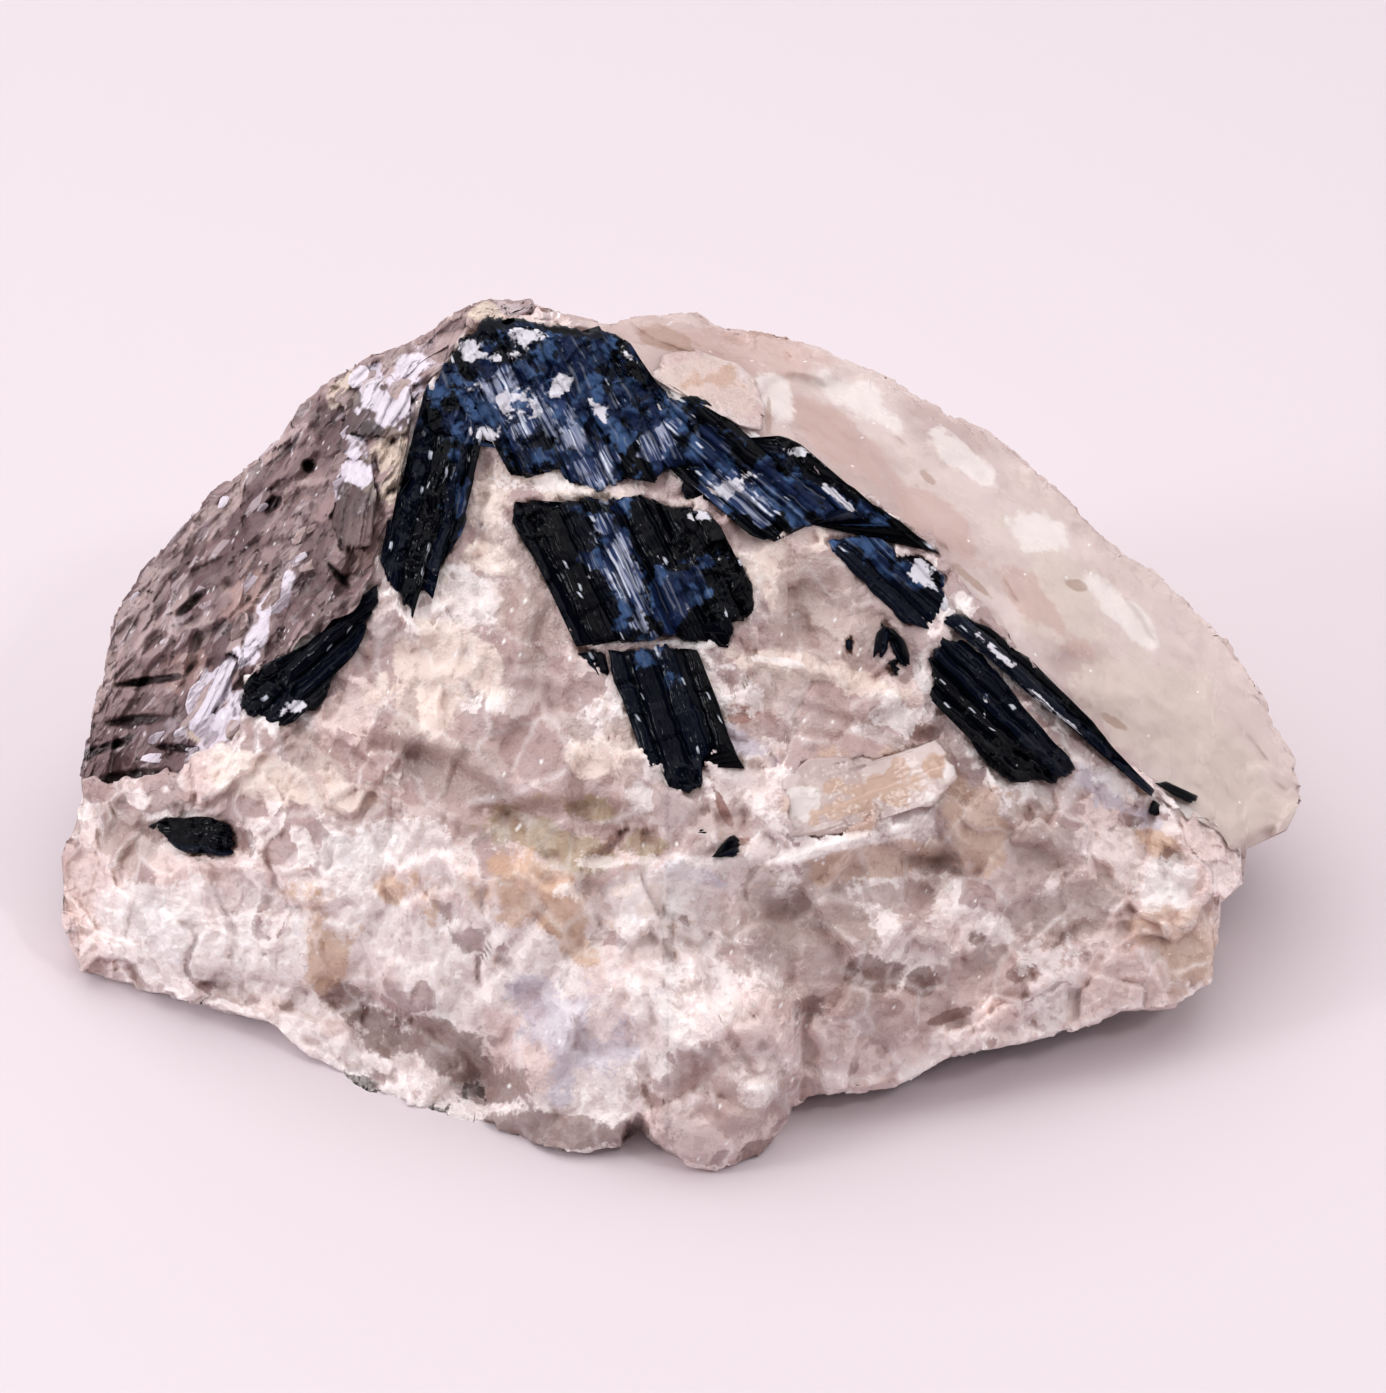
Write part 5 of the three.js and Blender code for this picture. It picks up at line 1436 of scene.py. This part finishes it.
unit = node(GRAINS_GROUP, "VectorMath", {0: leaning.outputs[0]}, operation="NORMALIZE")
shade = node(GRAINS_GROUP, "SeparateColor", {0: cells.outputs["Color"]}).outputs[0]
GRAINS_GROUP.links.new(shade, end.inputs["Shade"])
GRAINS_GROUP.links.new(unit.outputs[0], end.inputs["Normal"])

needs = {"Field": "Float", "Swing": "Float", "Raggedness": "Float"}
PATCH_GROUP, start, end = group("ragged patch", needs, {"Mask": "Float"})
swing = calc(PATCH_GROUP, "SUBTRACT", start.outputs["Swing"], 0.5)
swing = calc(PATCH_GROUP, "MULTIPLY", swing, start.outputs["Raggedness"])
swung = calc(PATCH_GROUP, "ADD", start.outputs["Field"], swing)
PATCH_GROUP.links.new(between(PATCH_GROUP, swung, -0.05, 0.3), end.inputs["Mask"])

BREAK_GROUP, start, end = group("fine break", {"Point": "Vector", "Size": "Float"}, {"Height": "Float"})
per_size = calc(BREAK_GROUP, "DIVIDE", 1.0, start.outputs["Size"])
waves = {"Vector": start.outputs["Point"], "Scale": per_size, "Detail": 2.0, "Roughness": 0.65}
rolling = node(BREAK_GROUP, "TexNoise", waves)
BREAK_GROUP.links.new(rolling.outputs["Fac"], end.inputs["Height"])
print("groups:", ", ".join(tree.name for tree in bpy.data.node_groups))


def patched(tree, base, name, tint, swing, strength=1.0, raggedness=0.9):
    """A colour with a ragged patch of another over it, where the mesh's mask of that name says."""
    inputs = {"Field": mask(tree, name), "Swing": swing, "Raggedness": raggedness}
    area = placed(tree, PATCH_GROUP, inputs).outputs["Mask"]
    if strength < 1:
        area = calc(tree, "MULTIPLY", area, strength)
    return mixed(tree, area, base, tint), area


def stained(tree, tone, swing, stains):
    """Ragged patches laid over a colour in turn. Each has a name, a tint's display values, a strength."""
    for name, tint, strength in stains:
        tone, _ = patched(tree, tone, name, colour(*tint), swing, strength)
    return tone


def bumped(tree, shader, height, strength, distance, grains):
    """Turns a height and the grains' own normals into the surface's normal."""
    inputs = {"Height": height, "Strength": strength, "Distance": distance * MM}
    bump = node(tree, "Bump", {**inputs, "Normal": grains.outputs["Normal"]})
    tree.links.new(bump.outputs[0], shader.inputs["Normal"])


def broken_normal(tree, shader, point, grain_size, tilt, break_size, strength, distance):
    """Grains and a fine break as the surface's normal; returns the grains' shade and the height."""
    grains = placed(tree, GRAINS_GROUP, {"Point": point, "Size": grain_size, "Tilt": tilt})
    height = placed(tree, BREAK_GROUP, {"Point": point, "Size": break_size}).outputs["Height"]
    bumped(tree, shader, height, strength, distance, grains)
    return grains.outputs["Shade"], height


# %% [markdown]
# Feldspar is white to pale pink and cleaves into small flat grains, some of which flash, with white
# spots painted in as highlights. Between them lie clear grey grains of quartz. Rust has soaked in
# along cracks, and shade is painted darker into the hollows.

# %% Feldspar
scatter = {"Subsurface Weight": 0.4, "Subsurface Radius": (1, 0.78, 0.66), "Subsurface Scale": 0.0014}
feldspar, tree, shader, point = new_material("granular feldspar", {**scatter, "IOR": 1.53})
shade, height = broken_normal(tree, shader, point, 0.5, 0.42, 0.4, 0.7, 0.3)
mottle, cloud, grain = mask(tree, "mottle"), mask(tree, "cloud"), mask(tree, "grain")
tone = mixed(tree, between(tree, mottle, -0.4, 0.4), colour(224, 202, 199), colour(245, 234, 233))
clear = between(tree, calc(tree, "ADD", grain, calc(tree, "MULTIPLY", cloud, 0.35)), 0.58, 0.7)
tone = mixed(tree, calc(tree, "MULTIPLY", clear, 0.85), tone, colour(166, 139, 138))
tone = mixed(tree, between(tree, shade, 0.05, 0.3, 0.35, 0), tone, colour(180, 150, 146))
tone = stained(tree, tone, height, [("dusky", (170, 142, 139), 0.7), ("cream", (240, 222, 212), 0.7)])
tone, grey = patched(tree, tone, "grey", colour(178, 156, 151), height, 0.75)
tone = stained(tree, tone, height, [
    ("tan", (196, 164, 146), 0.75), ("olive", (156, 134, 102), 0.75), ("lilac", (192, 184, 200), 0.65),
    ("iron", (202, 160, 122), 0.6), ("brown", (118, 86, 80), 0.75), ("red", (134, 86, 76), 0.8),
])
# Painted shade: the colour darkens where the break lies below its surroundings.
low = between(tree, mask(tree, "recess_shade"), 0.0, -0.5)
tone = mixed(tree, calc(tree, "MULTIPLY", low, 0.45), tone, colour(164, 130, 126))
tone, _ = patched(tree, tone, "white", colour(248, 242, 243), height, 0.55, 1.6)
# White borders between the grains, and painted highlights at the glint points.
pale = calc(tree, "MAXIMUM", calc(tree, "MULTIPLY", mask(tree, "vein"), 0.35), mask(tree, "glint"))
tone = mixed(tree, pale, tone, colour(252, 249, 250))
tree.links.new(tone, shader.inputs["Base Color"])
gloss = between(tree, shade, 0.7, 0.95, 0.5, 0.2)
for glassy, drop in ((grey, 0.15), (mask(tree, "glint"), 0.3)):
    gloss = calc(tree, "SUBTRACT", gloss, calc(tree, "MULTIPLY", glassy, drop))
tree.links.new(calc(tree, "MAXIMUM", gloss, 0.08), shader.inputs["Roughness"])
print("feldspar:", len(tree.nodes), "nodes")

# %% [markdown]
# Quartz has no cleavage. It is milky and waxy, breaks in shells, and takes its faint colours from
# what is dissolved in it: pinkish grey near the ridge, greenish towards the low end.

# %% Quartz
scatter = {"Subsurface Weight": 0.3, "Subsurface Radius": (1, 0.9, 0.75), "Subsurface Scale": 0.0025}
quartz, tree, shader, point = new_material("milky quartz", {**scatter, "IOR": 1.54})
shade, fine = broken_normal(tree, shader, point, 2.2, 0.12, 0.9, 0.25, 0.3)
mottle = mask(tree, "mottle")
tone = mixed(tree, between(tree, mottle, -0.4, 0.4), colour(184, 161, 157), colour(206, 187, 183))
cloud = between(tree, mask(tree, "cloud"), -0.1, 0.6)
tone = mixed(tree, calc(tree, "MULTIPLY", cloud, 0.35), tone, colour(222, 206, 203))
tone = stained(tree, tone, fine, [
    ("green", (206, 190, 181), 0.8), ("pink", (186, 152, 144), 0.6), ("white", (238, 231, 228), 0.6),
    ("tan", (190, 157, 138), 0.9), ("stain", (150, 116, 96), 0.6),
])
# Painted highlights: near-white spots where the glint mask says.
tone = mixed(tree, mask(tree, "glint"), tone, colour(250, 246, 246))
tree.links.new(tone, shader.inputs["Base Color"])
tree.links.new(between(tree, cloud, 0, 1, 0.26, 0.45), shader.inputs["Roughness"])
print("quartz:", len(tree.nodes), "nodes")

# %% [markdown]
# Mica splits into leaves. Seen on edge they are grey-brown, with shade painted near black into the
# gaps between them, and seen flat they shine like silver with a lilac cast. Its noise is stretched
# along the leaves, as the mesh's facets are.

# %% Mica
mica, tree, shader, point = new_material("leafy mica", {"IOR": 1.58, "Coat Roughness": 0.2})
leaf_along = math.cos(LEAF_TURN) * AXIS_U + math.sin(LEAF_TURN) * AXIS_V
leaf_across = math.cos(LEAF_TURN) * AXIS_V - math.sin(LEAF_TURN) * AXIS_U
parts = [
    node(tree, "VectorMath", {0: point, 1: tuple(axis / size)}, operation="DOT_PRODUCT").outputs["Value"]
    for axis, size in ((leaf_along, 2.2), (leaf_across, 0.8), (AXIS_W, 1.4))
]
leaf = node(tree, "CombineXYZ", dict(enumerate(parts))).outputs[0]
shade, fine = broken_normal(tree, shader, leaf, 0.7, 0.7, 0.5, 0.7, 0.3)
mottle = between(tree, mask(tree, "mottle"), -0.4, 0.4)
tone = mixed(tree, mottle, colour(102, 74, 78), colour(154, 127, 127))
tone = mixed(tree, between(tree, mask(tree, "grain"), 0.5, 0.8, 0, 0.65), tone, colour(196, 172, 170))
tone = mixed(tree, between(tree, mask(tree, "grain"), 0.4, 0.2, 0, 0.6), tone, colour(92, 68, 72))
tone = mixed(tree, between(tree, shade, 0.8, 0.95, 0, 0.5), tone, colour(206, 190, 198))
tone = stained(tree, tone, fine, [
    ("cream", (226, 206, 190), 0.8), ("purple", (88, 62, 66), 0.7), ("pebble", (168, 134, 128), 0.7),
])
# Painted shade: the colour darkens strongly where the flank lies below its surroundings.
low = between(tree, mask(tree, "recess_shade"), 0.1, -0.5)
tone = mixed(tree, calc(tree, "MULTIPLY", low, 0.7), tone, colour(66, 48, 50))
tone, bright = patched(tree, tone, "bright", colour(236, 226, 240), fine, 0.85)
# Painted shade: near black in the gaps between leaves.
tone = stained(tree, tone, fine, [("shaded_crevice", (52, 38, 40), 0.85)])
# Painted highlights: near-white spots where the glint mask says.
tone = mixed(tree, mask(tree, "glint"), tone, colour(244, 238, 246))
tree.links.new(tone, shader.inputs["Base Color"])
tree.links.new(between(tree, shade, 0.5, 0.95, 0.5, 0.2), shader.inputs["Roughness"])
tree.links.new(calc(tree, "MULTIPLY", bright, 0.6), shader.inputs["Coat Weight"])
print("mica:", len(tree.nodes), "nodes")

# %% [markdown]
# Tourmaline is glassy and so deep in colour that thick columns look black and thin ones blue. Fine
# lines run along each column, so the noise is read in the crystal's own frame, which travels with the
# mesh: long along the axis and short across it. White feldspar fills its cracks.

# %% Tourmaline
glassy = {"IOR": 1.63, "Specular IOR Level": 0.05}
tourmaline, tree, shader, point = new_material("blue tourmaline", glassy)
along = calc(tree, "MULTIPLY", mask(tree, "along"), 0.1)
lines = node(tree, "CombineXYZ", {0: along, 1: mask(tree, "across"), 2: 0.0}).outputs[0]
streaks = noise(tree, lines, 0.2, 1, 0.5)
tiny = noise(tree, point, 0.35, 1, 0.6)
grains = placed(tree, GRAINS_GROUP, {"Point": point, "Size": 0.7, "Tilt": 0.07})
height = calc(tree, "ADD", streaks, calc(tree, "MULTIPLY", tiny, 0.6))
bumped(tree, shader, height, 0.4, 0.09, grains)
body = mixed(tree, between(tree, mask(tree, "column"), 0.2, 0.9), colour(3, 4, 9), colour(8, 13, 28))
cloud = between(tree, mask(tree, "cloud"), -0.2, 0.5)
deep_blue = mixed(tree, cloud, colour(20, 33, 66), colour(62, 88, 130))
tone, _ = patched(tree, body, "blue", deep_blue, tiny, 0.85)
# Steel-blue patches: the crystal's blue, with silver lines along the columns painted in as sheen.
steel_and_sheen = mixed(tree, between(tree, streaks, 0.42, 0.62), colour(44, 58, 96), colour(164, 170, 192))
tone, _ = patched(tree, tone, "steel_and_sheen", steel_and_sheen, tiny, 0.9)
streak = calc(tree, "MULTIPLY", between(tree, streaks, 0.56, 0.7, 0, 0.6), mask(tree, "column"))
streak = calc(tree, "MULTIPLY", streak, between(tree, mask(tree, "blue"), -0.3, 0.2))
tone = mixed(tree, streak, tone, colour(64, 88, 124))
# Painted shade: the colour darkens towards black in the grooves between columns and on the sides.
tone = mixed(tree, calc(tree, "MULTIPLY", mask(tree, "groove_shade"), 0.5), tone, colour(5, 7, 12))
tone, frost = patched(tree, tone, "frost", colour(226, 223, 232), tiny, 0.88, 1.5)
# Painted highlights: near-white glints where the glint mask says.
tone = mixed(tree, calc(tree, "MULTIPLY", mask(tree, "glint"), 0.9), tone, colour(224, 230, 244))
tree.links.new(tone, shader.inputs["Base Color"])
tree.links.new(between(tree, frost, 0, 1, 0.13, 0.5), shader.inputs["Roughness"])
print("tourmaline:", len(tree.nodes), "nodes")

# %% [markdown]
# Each skin becomes a piece with its material. The feldspar halves, the quartz and the mica stand for
# the CAD frame's rock, and each crystal and coarse grain stands for its own node. Specks and loose
# leaves are too small for the frame, so they stand for none.

# %% Pieces
MATERIALS = {"feldspar": feldspar, "quartz": quartz, "mica": mica, "tourmaline": tourmaline}
piece("feldspar_front_left", front_skins[:1], feldspar, "feldspar", "matrix_rock")
piece("feldspar_front_right", front_skins[1:], feldspar, "feldspar", "matrix_rock")
piece("quartz_back", [quartz_skin], quartz, "quartz", "matrix_rock")
piece("mica_flank", [mica_skin], mica, "mica", "matrix_rock")
piece("mica_leaves", leaf_skins, mica, "mica", smooth=False)
for name, skins in crystal_skins.items():
    piece(name + "_columns", skins, tourmaline, "tourmaline", name)
speck_skins = [crystal_skin(speck, TOURMALINE_MASKS) for speck in SPECKS]
piece("tourmaline_specks", speck_skins, tourmaline, "tourmaline")

GRAIN_MASKS = {"feldspar": FRONT_PATCHES, "quartz": QUARTZ_PATCHES, "mica": MICA_PATCHES}
for name, bundles in GRAINS.items():
    mineral = name.split("_")[0]
    # No ovals for pebbles or for the recess depth; that field then lies near -1, so the feldspar and mica
    # materials paint their full recess shade over these grains.
    masks = {**GRAIN_MASKS[mineral], "pebbly": [], "recess_shade": []}
    skins = [crystal_skin(some, masks, some.get("host", FRONT)) for some in bundles]
    piece(name + "_cleaved", skins, MATERIALS[mineral], mineral, name)

# %% [markdown]
# The last cell ends the lesson with a closing line.

# %% Finish
print("all pieces made")
